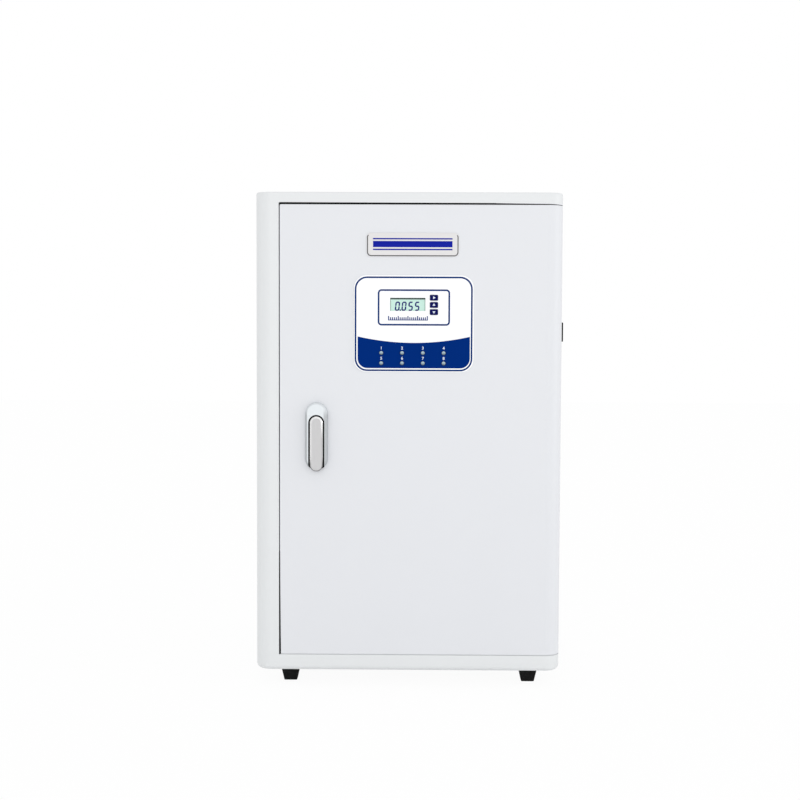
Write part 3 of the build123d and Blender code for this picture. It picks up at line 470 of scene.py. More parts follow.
string_fibre = wound_string()
carbon = beads("pressed_carbon", (0.022, 0.022, 0.024), GRITS_PER_METRE, GRIT_DEPTH, 0.75, 0.45)
resin = beads("resin_beads", (0.42, 0.19, 0.035), BEADS_PER_METRE, BEAD_DEPTH, 0.35, 0.35)
clear_bowl = common("clear_bowl", (0.90, 0.95, 0.97), 0.08, CLEAR_GRAIN, FAINT, spread=0.01,
                    Transmission_Weight=1.0, IOR=1.45)
print("wound string, carbon, resin and clear bowls")

# %% [markdown]
# ## Iron and the circuit board
# The rotor is a stack of stamped sheets, so thin dark lines run round it. The board is lacquered green
# with a faint net of copper tracks under the lacquer: a coarse Voronoi in straight steps gives the net.

# %% Iron and board
SHEET_PITCH = 0.001
SHEET_GROOVE = 0.0001
SHEET_SHARE = 0.7
IRON_GRAIN = 300.0
TRACKS_PER_METRE = 260.0
TRACK_EDGE = (0.55, 0.6)


def laminated_iron():
    finish = Finish("laminated_iron", (0.24, 0.24, 0.25), 0.42, 0.9)
    stripe = (finish.axis("x") * (2 * pi / SHEET_PITCH)).wave()
    finish.tone(stripe.blend(finish.noise(IRON_GRAIN), SHEET_SHARE), spread=0.25)
    finish.gloss(stripe, spread=0.06)
    finish.bump(stripe, SHEET_GROOVE)
    return finish


def lacquered_board():
    finish = Finish("lacquered_board", (0.012, 0.13, 0.045), 0.3)
    settings = {"distance": "CHEBYCHEV", "feature": "F2"}
    values = {"Vector": finish.place, "Scale": TRACKS_PER_METRE}
    track = finish.wire.add("ShaderNodeTexVoronoi", settings, values).ramp(*TRACK_EDGE)
    finish.tone(track, spread=0.35)
    finish.gloss(track, spread=0.05)
    finish.bump(track, COARSE)
    return finish


rotor_iron = laminated_iron()
board_green = lacquered_board()
print("rotor iron and circuit board")

# %% [markdown]
# ## The control panel's finishes
# The overlay is white film, whiter and glossier than the paint round it. Its inks are navy, a greyer blue
# for the outlines, and a bluish white. The display is a pale mint panel with a faint grid of its driving
# lines, and its digits are the dark blue of switched-on segments. A lamp's clear lens carries a painted
# reflection above and painted shade below, so one ramp, repeated from row to row, paints them all.

# %% Display and lamps
DISPLAY_RADIANS_PER_METRE = 2400.0
DISPLAY_GRAIN = 60.0
GRID_SHARE = 0.3
LAMP_RADIUS = 0.00275
LENS_SHARE = 0.7
# Painted shade for the lower half of each lamp lens; the lens colour itself is its painted reflection.
LENS_SHADE = (0.09, 0.14, 0.18, 1)
LENS_GRAIN = 600.0


def display_panel():
    finish = Finish("display_mint", (0.53, 0.775, 0.68), 0.3)
    lines = [(finish.axis(letter) * DISPLAY_RADIANS_PER_METRE).wave() for letter in "xz"]
    grid = lines[0].blend(lines[1], 0.5)
    finish.tone(grid.blend(finish.noise(DISPLAY_GRAIN), GRID_SHARE), spread=0.04)
    finish.gloss(grid, spread=0.03)
    return finish


def lamp_lenses():
    finish = Finish("lamp_lens", (0.42, 0.55, 0.62), 0.2)
    low, high = corners("indicator_leds")
    pitch = high.z - low.z - 2 * LAMP_RADIUS
    level = (finish.axis("z") - (low.z + LAMP_RADIUS)) / pitch + 0.5
    half = LENS_SHARE * LAMP_RADIUS / pitch
    # Painted reflection on the upper half of each lens, painted shade on the lower half.
    upper = finish.wire.math("FRACT", level).ramp(0.5 - half, 0.5 + half)
    finish.feed("Base Color", upper.mix(LENS_SHADE, finish.colour))
    finish.gloss(upper, spread=0.05)
    finish.bump(finish.noise(LENS_GRAIN), FINE)
    return finish


display_mint = display_panel()
lamp_lens = lamp_lenses()
print("display and lamp lenses")

# %% Film, inks and mouldings of the panel
FILM_GRAIN = 1800.0
PRINT_GRAIN = 2200.0

film = common("overlay_film", (0.93, 0.94, 0.95), 0.3, FILM_GRAIN, FAINT, spread=0.008)
navy_ink = common("navy_ink", (0.0, 0.0235, 0.183), 0.4, PRINT_GRAIN, FAINT, **MATT)
outline_ink = common("outline_ink", (0.001, 0.029, 0.155), 0.4, PRINT_GRAIN, FAINT, **MATT)
white_ink = common("white_ink", (0.74, 0.81, 0.93), 0.45, PRINT_GRAIN, FAINT, spread=0.02)
stripe_ink = common("stripe_ink", (0.004, 0.012, 0.32), 0.35, PRINT_GRAIN, FAINT, **DULL)
segment_ink = common("segment_ink", (0.012, 0.012, 0.16), 0.4, PRINT_GRAIN, FAINT, spread=0.08, **MATT)
key_plastic = common("key_navy", (0.0006, 0.0025, 0.085), 0.4, MOULD_GRAIN, FINE, spread=0.1, **DULL)
plate_plastic = common("plate_moulding", (0.715, 0.705, 0.705), 0.36, PAINT_GRAIN, FINE, spread=0.015)
painted_groove_shade = common("painted_groove_shade", (0.10, 0.10, 0.105), 0.6, PAINT_GRAIN, FINE, spread=0.1, **DULL)
painted_shadow_dark = common("painted_shadow_dark", (0.06, 0.09, 0.078), 0.5, MOULD_GRAIN, FAINT, **DULL)
painted_shade_pale = common("painted_shade_pale", (0.20, 0.32, 0.26), 0.5, MOULD_GRAIN, FAINT)
bezel_metal_and_shade = common("bezel_metal_and_shade", (0.02, 0.035, 0.07), 0.45, MOULD_GRAIN, FAINT, metallic=0.3, spread=0.1,
                     **DULL)
print(len(finishes), "finishes in all")

# %% [markdown]
# ## Finishes on the construction
# The construction's own shapes stay and take these finishes. Each node has a slot in the record, so one
# table from slot to finish dresses all of them, with a few nodes that differ from the rest of their slot.

# %% Dress the nodes
slot_finish = {
    "white_paint": powder_coat, "zinc_steel": zinc, "black_rubber": rubber, "nylon": nylon,
    "black_plastic": black_plastic, "head_blue": head_blue, "clear_bowl": clear_bowl,
    "spun_fibre": string_fibre, "carbon_block": carbon, "white_plastic": white_plastic,
    "amber_resin": resin, "pump_black": pump_paint, "rotor_iron": rotor_iron, "supply_case": supply_case,
    "brass_block": brass, "blue_tube": tube_blue, "plate_plastic": plate_plastic, "overlay_film": film,
    "display_glass": display_mint, "lamp_lens": lamp_lens, "circuit_board": board_green,
    "grey_plastic": cover_plastic, "satin_metal": casting, "key_navy": key_plastic,
}
node_finish = {
    "handle_lever": lever_face, "door_panel": door_coat, "rubber_feet": foot_rubber,
    # The lever pin is dull black as painted shade: it crosses the shaded gap round the lever.
    "lever_pin": dull_black, "switch_frame": dull_black, "power_rocker": dull_black,
}


def dress(node, finish):
    piece = nodes[node]
    if not piece.material_slots:
        piece.data.materials.append(None)
    for place in piece.material_slots:
        place.material = finish.material


for part in frame["record"]["subparts"]:
    dress(part["node"], node_finish.get(part["node"], slot_finish[part["material_slot"]]))
print("dressed", len(nodes), "nodes")

# %% [markdown]
# ## Flat shapes
# What is printed or stuck on the front is flat: outlines, fields, numbers and arrows. Each starts as a
# grid of one face, whose corners a vertex bevel rounds. An inset makes a line of it, and an extrusion
# gives it its thickness.

# %% Helpers for flat shapes
def bar(mesh, x, y, width, height):
    """Adds a flat rectangle to a mesh."""
    place = Matrix.Translation((x, y, 0)) @ Matrix.Diagonal((width, height, 1, 1))
    bmesh.ops.create_grid(mesh, x_segments=1, y_segments=1, size=0.5, matrix=place)


def round_corners(mesh, points, radius, steps=10):
    bmesh.ops.bevel(mesh, geom=points, offset=radius, offset_type="OFFSET", affect="VERTICES",
                    segments=steps, profile=0.5, material=-1)


def rim_of(mesh, line):
    """Leaves of a flat shape only a line of a given width just inside its edge."""
    inner = mesh.faces[:]
    bmesh.ops.inset_region(mesh, faces=inner, thickness=line, use_boundary=True, use_even_offset=True)
    bmesh.ops.delete(mesh, geom=inner, context="FACES_ONLY")
    return mesh


def ring(width, height, radius, line):
    """A line of a given width just inside a rectangle with round corners, about the origin."""
    mesh = bmesh.new()
    bar(mesh, 0, 0, width, height)
    round_corners(mesh, mesh.verts[:], radius)
    return rim_of(mesh, line)


def thicken(mesh, depth):
    """Makes a flat shape a closed solid, upwards."""
    made = bmesh.ops.extrude_face_region(mesh, geom=mesh.faces[:])["geom"]
    lifted = [part for part in made if isinstance(part, bmesh.types.BMVert)]
    bmesh.ops.translate(mesh, vec=(0, 0, depth), verts=lifted)
    return mesh


def everything(mesh):
    return mesh.verts[:] + mesh.edges[:] + mesh.faces[:]


def gather(parts):
    """Several shapes as one mesh."""
    whole = bmesh.new()
    for part in parts:
        data = bpy.data.meshes.new("part")
        part.to_mesh(data)
        part.free()
        whole.from_mesh(data)
        bpy.data.meshes.remove(data)
    return whole


def move(mesh, x, y):
    bmesh.ops.translate(mesh, vec=(x, y, 0), verts=mesh.verts)
    return mesh


print("flat shapes ready")

# %% [markdown]
# ## From a shape to a piece
# One turn stands a flat shape up to face the front, the side or the back. A finished shape becomes a
# piece that rides on a body of the construction. Ink is a tenth of a millimetre thick here, which is
# heavy for print but keeps it clear of the surface under it.

# %% Helpers for pieces
INK = 0.0001
INK_SINK = 0.00002
FACING_FRONT = Matrix.Rotation(radians(90), 4, "X")
FACING_BACK = Matrix.Rotation(radians(-90), 4, "X")
FACING_SIDE = Matrix(((0, 0, 1, 0), (1, 0, 0, 0), (0, 1, 0, 0), (0, 0, 0, 1)))


def stand(mesh, place, facing):
    """Turns a shape to face a way and sets its own middle at a place."""
    bmesh.ops.transform(mesh, matrix=Matrix.Translation(place) @ facing, verts=mesh.verts)
    return mesh


def new_object(name, mesh, material):
    data = bpy.data.meshes.new(name)
    mesh.to_mesh(data)
    mesh.free()
    data.materials.append(material)
    made = bpy.data.objects.new(name, data)
    bpy.context.scene.collection.objects.link(made)
    return made


def new_piece(name, mesh, finish, body):
    """A finished shape as a piece that rides on a body and takes the finish it is given."""
    bmesh.ops.recalc_face_normals(mesh, faces=mesh.faces)
    piece = new_object(name, mesh, finish.material)
    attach(piece, body)
    print(name, len(piece.data.polygons), "faces on", body)
    return piece


def on_front(name, mesh, place, finish, body, depth=INK):
    """A flat shape as a piece of a given thickness that faces the front, with its middle at a place."""
    return new_piece(name, stand(thicken(mesh, depth), place, FACING_FRONT), finish, body)


def front_middle(node):
    """The middle of a node's front face, sunk by a hair so that print holds on to it."""
    low, high = corners(node)
    return Vector(((low.x + high.x) / 2, low.y + INK_SINK, (low.z + high.z) / 2))


print("pieces ready")

# %% [markdown]
# ## The overlay's print
# A blue line runs round the overlay and another round the meter. The lower part is a navy field whose
# upper side dips in a shallow arc: the upper edge of a rectangle is divided and let down by a parabola.

# %% Outline, meter line and field
OUTLINE = 0.0022
OVERLAY_LINE = (0.1576, 0.1264, 0.0165)        # width, height and corner radius
OVERLAY_SHIFT = Vector((-0.0003, 0, -0.0003))
METER_LINE = (0.0966, 0.0484, 0.005)
METER_RISE = 0.0217
FIELD_WIDTH = 0.1503
FIELD_RADIUS = 0.013
FIELD_TOP = -0.0172
FIELD_BOTTOM = -0.0596
FIELD_DIP = 0.0084
DIP_STEPS = 31


def dipped_field(width, height, radius, dip):
    """A rectangle with its lower corners round and its upper side let down in an arc."""
    mesh = bmesh.new()
    bar(mesh, 0, 0, width, height)
    round_corners(mesh, [corner for corner in mesh.verts if corner.co.y < 0], radius)
    upper = [edge for edge in mesh.edges if min(end.co.y for end in edge.verts) > height / 2 - INK]
    bmesh.ops.subdivide_edges(mesh, edges=upper, cuts=DIP_STEPS)
    for point in mesh.verts:
        if point.co.y > height / 2 - INK:
            point.co.y -= dip * (1 - (2 * point.co.x / width) ** 2)
    return mesh


overlay = front_middle("control_overlay")
meter = overlay + Vector((0, 0, METER_RISE))
field = overlay + Vector((0, 0, (FIELD_TOP + FIELD_BOTTOM) / 2))
outline = ring(*OVERLAY_LINE, OUTLINE)
on_front("overlay_outline", outline, overlay + OVERLAY_SHIFT, outline_ink, "door")
on_front("meter_outline", ring(*METER_LINE, OUTLINE), meter, outline_ink, "door")
field_shape = dipped_field(FIELD_WIDTH, FIELD_TOP - FIELD_BOTTOM, FIELD_RADIUS, FIELD_DIP)
on_front("lamp_field", field_shape, field, navy_ink, "door")

# %% [markdown]
# Plain numbers stand over the lamps, and a narrow dark bezel holds each lamp; its dark ring also paints
# shade at the lamp's rim. A number is a text curve that is made a mesh, and a bezel is the rim of a circle.

# %% Lamp numbers and bezels
LAMP_COLUMNS = 4
LAMP_ROWS = 2
LAMP_BEZEL_RADIUS = 0.0029
LAMP_BEZEL_LINE = 0.0007
LAMP_BEZEL_PROUD = 0.0009
CIRCLE_STEPS = 40
NUMBER_HEIGHT = 0.0037
NUMBER_RISE = 0.0064
NUMBER_WEIGHT = 0.00016
CAPITAL_SHARE = 0.69


def printed(words, height):
    """A number as a flat mesh about the origin."""
    curve = bpy.data.curves.new("number", "FONT")
    curve.body = words
    curve.size = height / CAPITAL_SHARE
    curve.offset = NUMBER_WEIGHT
    curve.align_x = "CENTER"
    curve.align_y = "CENTER"
    holder = bpy.data.objects.new("number", curve)
    data = bpy.data.meshes.new_from_object(holder)
    mesh = bmesh.new()
    mesh.from_mesh(data)
    bpy.data.objects.remove(holder)
    bpy.data.meshes.remove(data)
    bpy.data.curves.remove(curve)
    return mesh


def spaced(low, high, count):
    return [low + (high - low) * step / (count - 1) for step in range(count)]


def lamp_places():
    """The lamps' places on the overlay, row by row from the top, from the outer lamps' box."""
    low, high = corners("indicator_leds")
    columns = spaced(low.x + LAMP_RADIUS, high.x - LAMP_RADIUS, LAMP_COLUMNS)
    rows = spaced(high.z - LAMP_RADIUS, low.z + LAMP_RADIUS, LAMP_ROWS)
    return [(x - overlay.x, z - overlay.z) for z in rows for x in columns]


def lamp_bezel(x, y):
    mesh = bmesh.new()
    bmesh.ops.create_circle(mesh, cap_ends=True, segments=CIRCLE_STEPS, radius=LAMP_BEZEL_RADIUS)
    return move(rim_of(mesh, LAMP_BEZEL_LINE), x, y)


numbers = [move(printed(str(count), NUMBER_HEIGHT), x, y + NUMBER_RISE)
           for count, (x, y) in enumerate(lamp_places(), start=1)]
on_front("lamp_numbers", gather(numbers), overlay - Vector((0, INK, 0)), white_ink, "door")
# The dark bezels also paint shade at each lamp's rim.
bezels = gather([lamp_bezel(x, y) for x, y in lamp_places()])
on_front("lamp_bezels", bezels, overlay, bezel_metal_and_shade, "door", LAMP_BEZEL_PROUD)

# %% [markdown]
# ## Display and keys
# The display lies behind a window in the overlay, above a printed scale of ticks. Its digits are the seven
# bars of a segment display, pointed by a bevel of one segment and slanted by a shear. A bar's row in the
# table says where it is, in half widths and half heights of a digit, and whether it lies flat.

# %% Scale of ticks
TICKS = 21
TICKS_PER_STEP = 5
TICK_ROW = (-0.0079, -0.0163)
TICK_WIDTH = 0.0014
SHORT_TICK = 0.0032
LONG_TICK = 0.0048
TICKS_SPAN = 0.0518
TICK_BASE = 0.0010


def tick_scale():
    """Upright ticks on a base line, every fifth one longer."""
    mesh = bmesh.new()
    bar(mesh, 0, -TICK_BASE / 2, TICKS_SPAN + TICK_WIDTH, TICK_BASE)
    for count, x in enumerate(spaced(-TICKS_SPAN / 2, TICKS_SPAN / 2, TICKS)):
        height = SHORT_TICK if count % TICKS_PER_STEP else LONG_TICK
        bar(mesh, x, height / 2, TICK_WIDTH, height)
    return move(mesh, *TICK_ROW)


on_front("meter_ticks", tick_scale(), meter, navy_ink, "door")

# %% Display digits
READING = "0.055"
DIGIT_HEIGHT = 0.0105
DIGIT_WIDTH = 0.0045
DIGIT_PITCH = 0.0088
DIGIT_STROKE = 0.0018
DIGIT_POINT_SHARE = 0.45
DIGIT_SLANT = 0.11
DIGITS_SHIFT = (-0.0006, -0.0024)
SEGMENTS = {"a": (0, 1, True), "b": (1, 0.5, False), "c": (1, -0.5, False), "d": (0, -1, True),
            "e": (-1, -0.5, False), "f": (-1, 0.5, False), "g": (0, 0, True)}
LIT = {"0": "abcdef", "5": "acdfg"}


def digit(lit, x):
    """The lit bars of one digit, about a place on the line."""
    mesh = bmesh.new()
    for name in lit:
        across, up, lying = SEGMENTS[name]
        size = (DIGIT_WIDTH, DIGIT_STROKE) if lying else (DIGIT_STROKE, DIGIT_HEIGHT / 2)
        bar(mesh, x + across * DIGIT_WIDTH / 2, up * DIGIT_HEIGHT / 2, *size)
    round_corners(mesh, mesh.verts[:], DIGIT_STROKE * DIGIT_POINT_SHARE, 1)
    return mesh


def reading():
    """All digits of the reading, with the point between the first two."""
    figures = READING.replace(".", "")
    point_after = READING.index(".")
    parts = [digit(LIT[figure], (count - (len(figures) - 1) / 2) * DIGIT_PITCH)
             for count, figure in enumerate(figures)]
    dot = bmesh.new()
    bar(dot, (point_after - len(figures) / 2) * DIGIT_PITCH, -DIGIT_HEIGHT / 2, DIGIT_STROKE, DIGIT_STROKE)
    mesh = gather(parts + [dot])
    slant = Matrix.Identity(4)
    slant[0][1] = DIGIT_SLANT
    bmesh.ops.transform(mesh, matrix=slant, verts=mesh.verts)
    return move(mesh, *DIGITS_SHIFT)


display = front_middle("lcd_module")
on_front("display_digits", reading(), display, segment_ink, "door")

# %% [markdown]
# The window's upper edge throws a shade on the glass, so a dark strip of painted shadow lies there, with two
# paler strips of painted shade at the sides. Each key carries an arrow, which rides on that key. A circle of
# three segments is a triangle that points up, and each key turns it its own way.

# %% Display shadow strips
SHADE_HEIGHT = 0.0021
SIDE_WIDTH = 0.0008
STRIP_DEPTH = 0.0004
DISPLAY_MARGIN = 0.003

display_low, display_high = corners("lcd_module")
window_width = display_high.x - display_low.x - 2 * DISPLAY_MARGIN
window_height = display_high.z - display_low.z - 2 * DISPLAY_MARGIN
# Painted shadow of the window's upper edge on the glass, and paler painted shade at its sides.
shade_strip = bmesh.new()
bar(shade_strip, 0, (window_height - SHADE_HEIGHT) / 2, window_width, SHADE_HEIGHT)
on_front("display_top_shadow", shade_strip, display, painted_shadow_dark, "door", STRIP_DEPTH)
side_strips = bmesh.new()
side_middle = (window_width - SIDE_WIDTH) / 2
for x in (-side_middle, side_middle):
    bar(side_strips, x, -SHADE_HEIGHT / 2, SIDE_WIDTH, window_height - SHADE_HEIGHT)
on_front("display_side_shades", side_strips, display, painted_shade_pale, "door", STRIP_DEPTH)

# %% Key arrows
ARROW_RADIUS = 0.0022
ARROW_CORNER = 0.0004
ARROW_STEPS = 4
ARROW_TURNS = {"key_right": -90, "key_up": 0, "key_down": 180}


def arrow(turn):
    """A triangle that points up, turned about its middle."""
    mesh = bmesh.new()
    turned = Matrix.Rotation(radians(turn), 4, "Z")
    bmesh.ops.create_circle(mesh, cap_ends=True, segments=3, radius=ARROW_RADIUS, matrix=turned)
    round_corners(mesh, mesh.verts[:], ARROW_CORNER, ARROW_STEPS)
    return mesh


for key, turn in ARROW_TURNS.items():
    on_front(key + "_arrow", arrow(turn), front_middle(key), white_ink, key)

# %% [markdown]
# ## Name plate
# A thin dark line of painted shadow, the shade in a groove just inside the plate's edge, runs at its sides
# and along its lower side, where the light from above does not reach, so a ring is cut off near its top by a
# plane for it. The plate carries three plain blue stripes.

# %% Name plate
GROOVE_LINE = 0.0013
GROOVE_INSET = 0.0005
PLATE_RADIUS = 0.006
STRIPE_LENGTH = 0.106
STRIPES = ((0.0079, 0.0018), (0.0008, 0.0082), (-0.0063, 0.0018))

plate = front_middle("name_plate")
plate_low, plate_high = corners("name_plate")
plate_width = plate_high.x - plate_low.x
plate_height = plate_high.z - plate_low.z
# The dark groove line is painted shadow, left out near the plate's top where light falls.
groove = ring(plate_width - 2 * GROOVE_INSET, plate_height - 2 * GROOVE_INSET, PLATE_RADIUS - GROOVE_INSET,
              GROOVE_LINE)
bmesh.ops.bisect_plane(groove, geom=everything(groove), clear_outer=True,
                       plane_co=(0, plate_height / 2 - PLATE_RADIUS / 2, 0), plane_no=(0, 1, 0))
on_front("plate_groove_shade", groove, plate, painted_groove_shade, "door")
stripes = bmesh.new()
for rise, height in STRIPES:
    bar(stripes, 0, rise, STRIPE_LENGTH, height)
on_front("plate_stripes", stripes, plate, stripe_ink, "door")

# %% [markdown]
# ## Seals round the door
# The gap over the door is black: rubber stands in it, a seal whose black also stands for the shade in the
# gap, and its lip, painted shade too, covers the edge of the roof's skirt. A pale sill lies behind the gap
# under the door. Each strip starts as a small rectangle, which is extruded along the front and then spun a
# quarter turn about the hinge.

# %% Strips over and under the door
SEAL_DEPTH = 0.006
SEAL_HEIGHT = 0.009
SEAL_CLEAR = 0.0002
SKIRT_THICKNESS = 0.0015
TRIM_BACK = 0.0002
SILL_HEIGHT = 0.005
CORNER_STEPS = 10

door_low, door_high = corners("door_panel")
roof_low = corners("top_panel")[0]
hinge = Vector(joints["door_hinge"]["pos_m"])


def strip(start, front, back, low, high):
    """A strip between two depths and two heights, from a place along the front to round the hinge."""
    mesh = bmesh.new()
    bar(mesh, (front + back) / 2, (low + high) / 2, back - front, high - low)
    stand(mesh, (start, 0, 0), FACING_SIDE)
    made = bmesh.ops.extrude_face_region(mesh, geom=mesh.faces[:])["geom"]
    bmesh.ops.translate(mesh, vec=(hinge.x - start, 0, 0),
                        verts=[part for part in made if isinstance(part, bmesh.types.BMVert)])
    end = [part for part in made if isinstance(part, bmesh.types.BMFace)]
    bmesh.ops.spin(mesh, geom=end, cent=hinge, axis=(0, 0, 1), angle=radians(90), steps=CORNER_STEPS)
    return mesh


front = roof_low.y
inside = front + SKIRT_THICKNESS
seal_low = door_high.z + SEAL_CLEAR
# The black rubber trim and seal also stand for the shade in the gap over the door.
trim = strip(door_low.x, front + TRIM_BACK, inside, seal_low, roof_low.z)
new_piece("roof_edge_trim", trim, rubber, "cabinet")
seal = strip(door_low.x, inside, inside + SEAL_DEPTH, seal_low, seal_low + SEAL_HEIGHT)
new_piece("door_seal", seal, rubber, "cabinet")
sill_top = door_low.z - SEAL_CLEAR
sill = strip(door_low.x, inside, inside + SEAL_DEPTH, sill_top - SILL_HEIGHT, sill_top)
new_piece("door_sill", sill, powder_coat, "cabinet")

# %% [markdown]
# Towards the hinge a pale strip, a long wedge, closes the upper part of the gap, and the lip runs out
# where the wedge starts. A rubber buffer, a wedge too, covers the door's free edge at its lower corner.
# Each wedge is made with even sides, and then some of its points are moved.

# %% Lip, wedge and buffer
TRIM_PROUD = 0.0002
TRIM_COVER = 0.0005
WEDGE_LENGTH = 0.071
WEDGE_HEIGHT = 0.0016
WEDGE_FRONT = 0.0001
BUFFER_LENGTH = 0.140
BUFFER_DEPTH = 0.006
BUFFER_CLEAR = 0.0003
BUFFER_COVER = 0.0014

wedge_start = hinge.x - WEDGE_LENGTH
wedge = strip(wedge_start, front + WEDGE_FRONT, front + TRIM_BACK, roof_low.z - WEDGE_HEIGHT, roof_low.z)
for point in wedge.verts:
    if point.co.z < roof_low.z - INK:
        share = (point.co.x - wedge_start) / (door_high.x - wedge_start)
        point.co.z = roof_low.z - max(INK, share ** 2 * WEDGE_HEIGHT)
new_piece("hinge_side_strip", wedge, door_coat, "cabinet")

# The rubber lip over the roof skirt's edge widens the gap's dark line: painted shade.
lip = bmesh.new()
bar(lip, 0, 0, wedge_start - door_low.x, 2 * TRIM_COVER)
for point in lip.verts:
    if point.co.x > 0 and point.co.y > 0:
        point.co.y = 0
lip_middle = ((wedge_start + door_low.x) / 2, front + TRIM_BACK, roof_low.z)
on_front("roof_edge_lip", lip, lip_middle, rubber, "cabinet", TRIM_BACK + TRIM_PROUD)

stile_edge = corners("left_side_panel")[1].x
buffer = bmesh.new()
buffer_width = door_low.x - stile_edge - BUFFER_CLEAR
bar(buffer, -buffer_width / 2, BUFFER_LENGTH / 2, buffer_width, BUFFER_LENGTH)
for point in buffer.verts:
    if point.co.x > -INK and point.co.y < INK:
        point.co.x += BUFFER_COVER
buffer_foot = (door_low.x, door_low.y + BUFFER_DEPTH, door_low.z)
on_front("door_buffer", buffer, buffer_foot, rubber, "door", BUFFER_DEPTH + TRIM_PROUD)
print("stile edge", round(stile_edge, 5), "door edge", round(door_low.x, 5))

# %% [markdown]
# ## Rim and marks of the switch
# A low rim round the frame keeps a passing hand off the rocker. The rocker carries a line for on and a
# ring for off, one on each of its two sloping faces. Each mark is laid flat, turned to face the side,
# tipped to its face's slope and set on the middle of that face.

# %% Switch rim and marks
RIM_INSET = 0.0004
RIM_LINE = 0.0016
RIM_HEIGHT = 0.0007
RIM_RADIUS = 0.0016
ROCKER_REACH = 0.0046
ROCKER_MIDDLE_REACH = 0.003
ROCKER_HALF_HEIGHT = 0.009
ROCKER_TILT = radians(8)
ON_MARK = (0.0008, 0.0042)
OFF_MARK = (0.0042, 0.0042, 0.00205, 0.0007)

frame_low, frame_high = corners("switch_frame")
frame_size = frame_high - frame_low
frame_middle = (frame_low + frame_high) / 2
frame_face = (frame_high.x - INK_SINK, frame_middle.y, frame_middle.z)
rim = ring(frame_size.y - 2 * RIM_INSET, frame_size.z - 2 * RIM_INSET, RIM_RADIUS, RIM_LINE)
stand(thicken(rim, RIM_HEIGHT), frame_face, FACING_SIDE)
new_piece("switch_rim", rim, dull_black, "cabinet")

on_line = bmesh.new()
bar(on_line, 0, 0, *ON_MARK)
pivot = Vector(joints["power_switch"]["pos_m"])
tipped = Matrix.Translation(pivot) @ Matrix.Rotation(-ROCKER_TILT, 4, "Y")
slope = atan2(ROCKER_REACH - ROCKER_MIDDLE_REACH, ROCKER_HALF_HEIGHT)
face_reach = (ROCKER_REACH + ROCKER_MIDDLE_REACH) / 2 - INK_SINK
for name, mark, side in (("on_mark", on_line, 1), ("off_mark", ring(*OFF_MARK), -1)):
    face_middle = Matrix.Translation((face_reach, 0, side * ROCKER_HALF_HEIGHT / 2))
    sloped = Matrix.Rotation(side * slope, 4, "Y")
    seat = tipped @ face_middle @ sloped @ FACING_SIDE
    bmesh.ops.transform(thicken(mark, INK), matrix=seat, verts=mark.verts)
    new_piece(name, mark, white_ink, "power_rocker")

# %% [markdown]
# ## Screws
# The back panel's screw heads get a cross recess, a dark inlay of painted shade on each head. Four screws
# hold the cover behind the door to its posts: a few points of a dome's outline, spun round the screw's axis,
# make a head, and the same cross of painted shade lies on it.

# %% Screw heads and recesses
CROSS = (0.0044, 0.0010)
BACK_COLUMNS = 2
BACK_ROWS = 3
BACK_HEAD_RADIUS = 0.004
COVER_HEAD = ((0.0, 0.0022), (0.0014, 0.0020), (0.0026, 0.0014), (0.0033, 0.0005), (0.0034, 0.0))
COVER_SCREW_INSET = (0.022, 0.014)
HEAD_STEPS = 24


def cross():
    """Two crossing bars, as thick as ink."""
    mesh = bmesh.new()
    long, narrow = CROSS
    bar(mesh, 0, 0, long, narrow)
    for side in (-1, 1):
        bar(mesh, 0, side * (long + narrow) / 4, narrow, (long - narrow) / 2)
    return thicken(mesh, INK)


def cover_head():
    """A screw head: its outline, from the axis outwards and down, spun round the axis."""
    mesh = bmesh.new()
    points = [mesh.verts.new((radius, 0, height)) for radius, height in COVER_HEAD]
    edges = [mesh.edges.new(pair) for pair in zip(points, points[1:])]
    bmesh.ops.spin(mesh, geom=points + edges, cent=(0, 0, 0), axis=(0, 0, 1), angle=2 * pi,
                   steps=HEAD_STEPS, use_merge=True)
    bmesh.ops.remove_doubles(mesh, verts=mesh.verts, dist=INK_SINK)
    bmesh.ops.contextual_create(mesh, geom=[edge for edge in mesh.edges if edge.is_boundary])
    return mesh


def at_places(shape, places):
    """One shape, turned to face the back, at each of several places."""
    return gather([stand(shape(), place, FACING_BACK) for place in places])


low, high = corners("back_panel_screws")
head_tops = [Vector((x, high.y - INK_SINK, z))
             for x in spaced(low.x + BACK_HEAD_RADIUS, high.x - BACK_HEAD_RADIUS, BACK_COLUMNS)
             for z in spaced(low.z + BACK_HEAD_RADIUS, high.z - BACK_HEAD_RADIUS, BACK_ROWS)]
# Each screw's cross recess is a dark inlay of painted shade.
new_piece("back_screw_recesses", at_places(cross, head_tops), painted_groove_shade, "cabinet")

low, high = corners("control_cover")
inset_x, inset_z = COVER_SCREW_INSET
cover_seats = [Vector((x, high.y - INK_SINK, z))
               for x in (low.x + inset_x, high.x - inset_x)
               for z in (low.z + inset_z, high.z - inset_z)]
cover_tops = [seat + Vector((0, COVER_HEAD[0][1], 0)) for seat in cover_seats]
heads = new_piece("cover_screws", at_places(cover_head, cover_seats), zinc, "door")
heads.data.shade_smooth()
# The cover screws' crosses are painted shade of their recesses too.
new_piece("cover_screw_recesses", at_places(cross, cover_tops), painted_groove_shade, "door")

# %% [markdown]
# ## Grip ribs and motor bands
# A filter bowl is unscrewed by hand, so its collar has upright ribs. One rounded rib is made at the
# collar's edge and repeated round the axis by a spin that duplicates. The motor's can is held by two steel
# bands, each a small rectangle spun a full turn.

# %% Grip ribs
RIB_REACH = 0.0022
RIB_WIDTH = 0.0030
RIB_ROUND = 0.0007
COLLAR_HEIGHT = 0.014
COLLAR_RIBS = 36


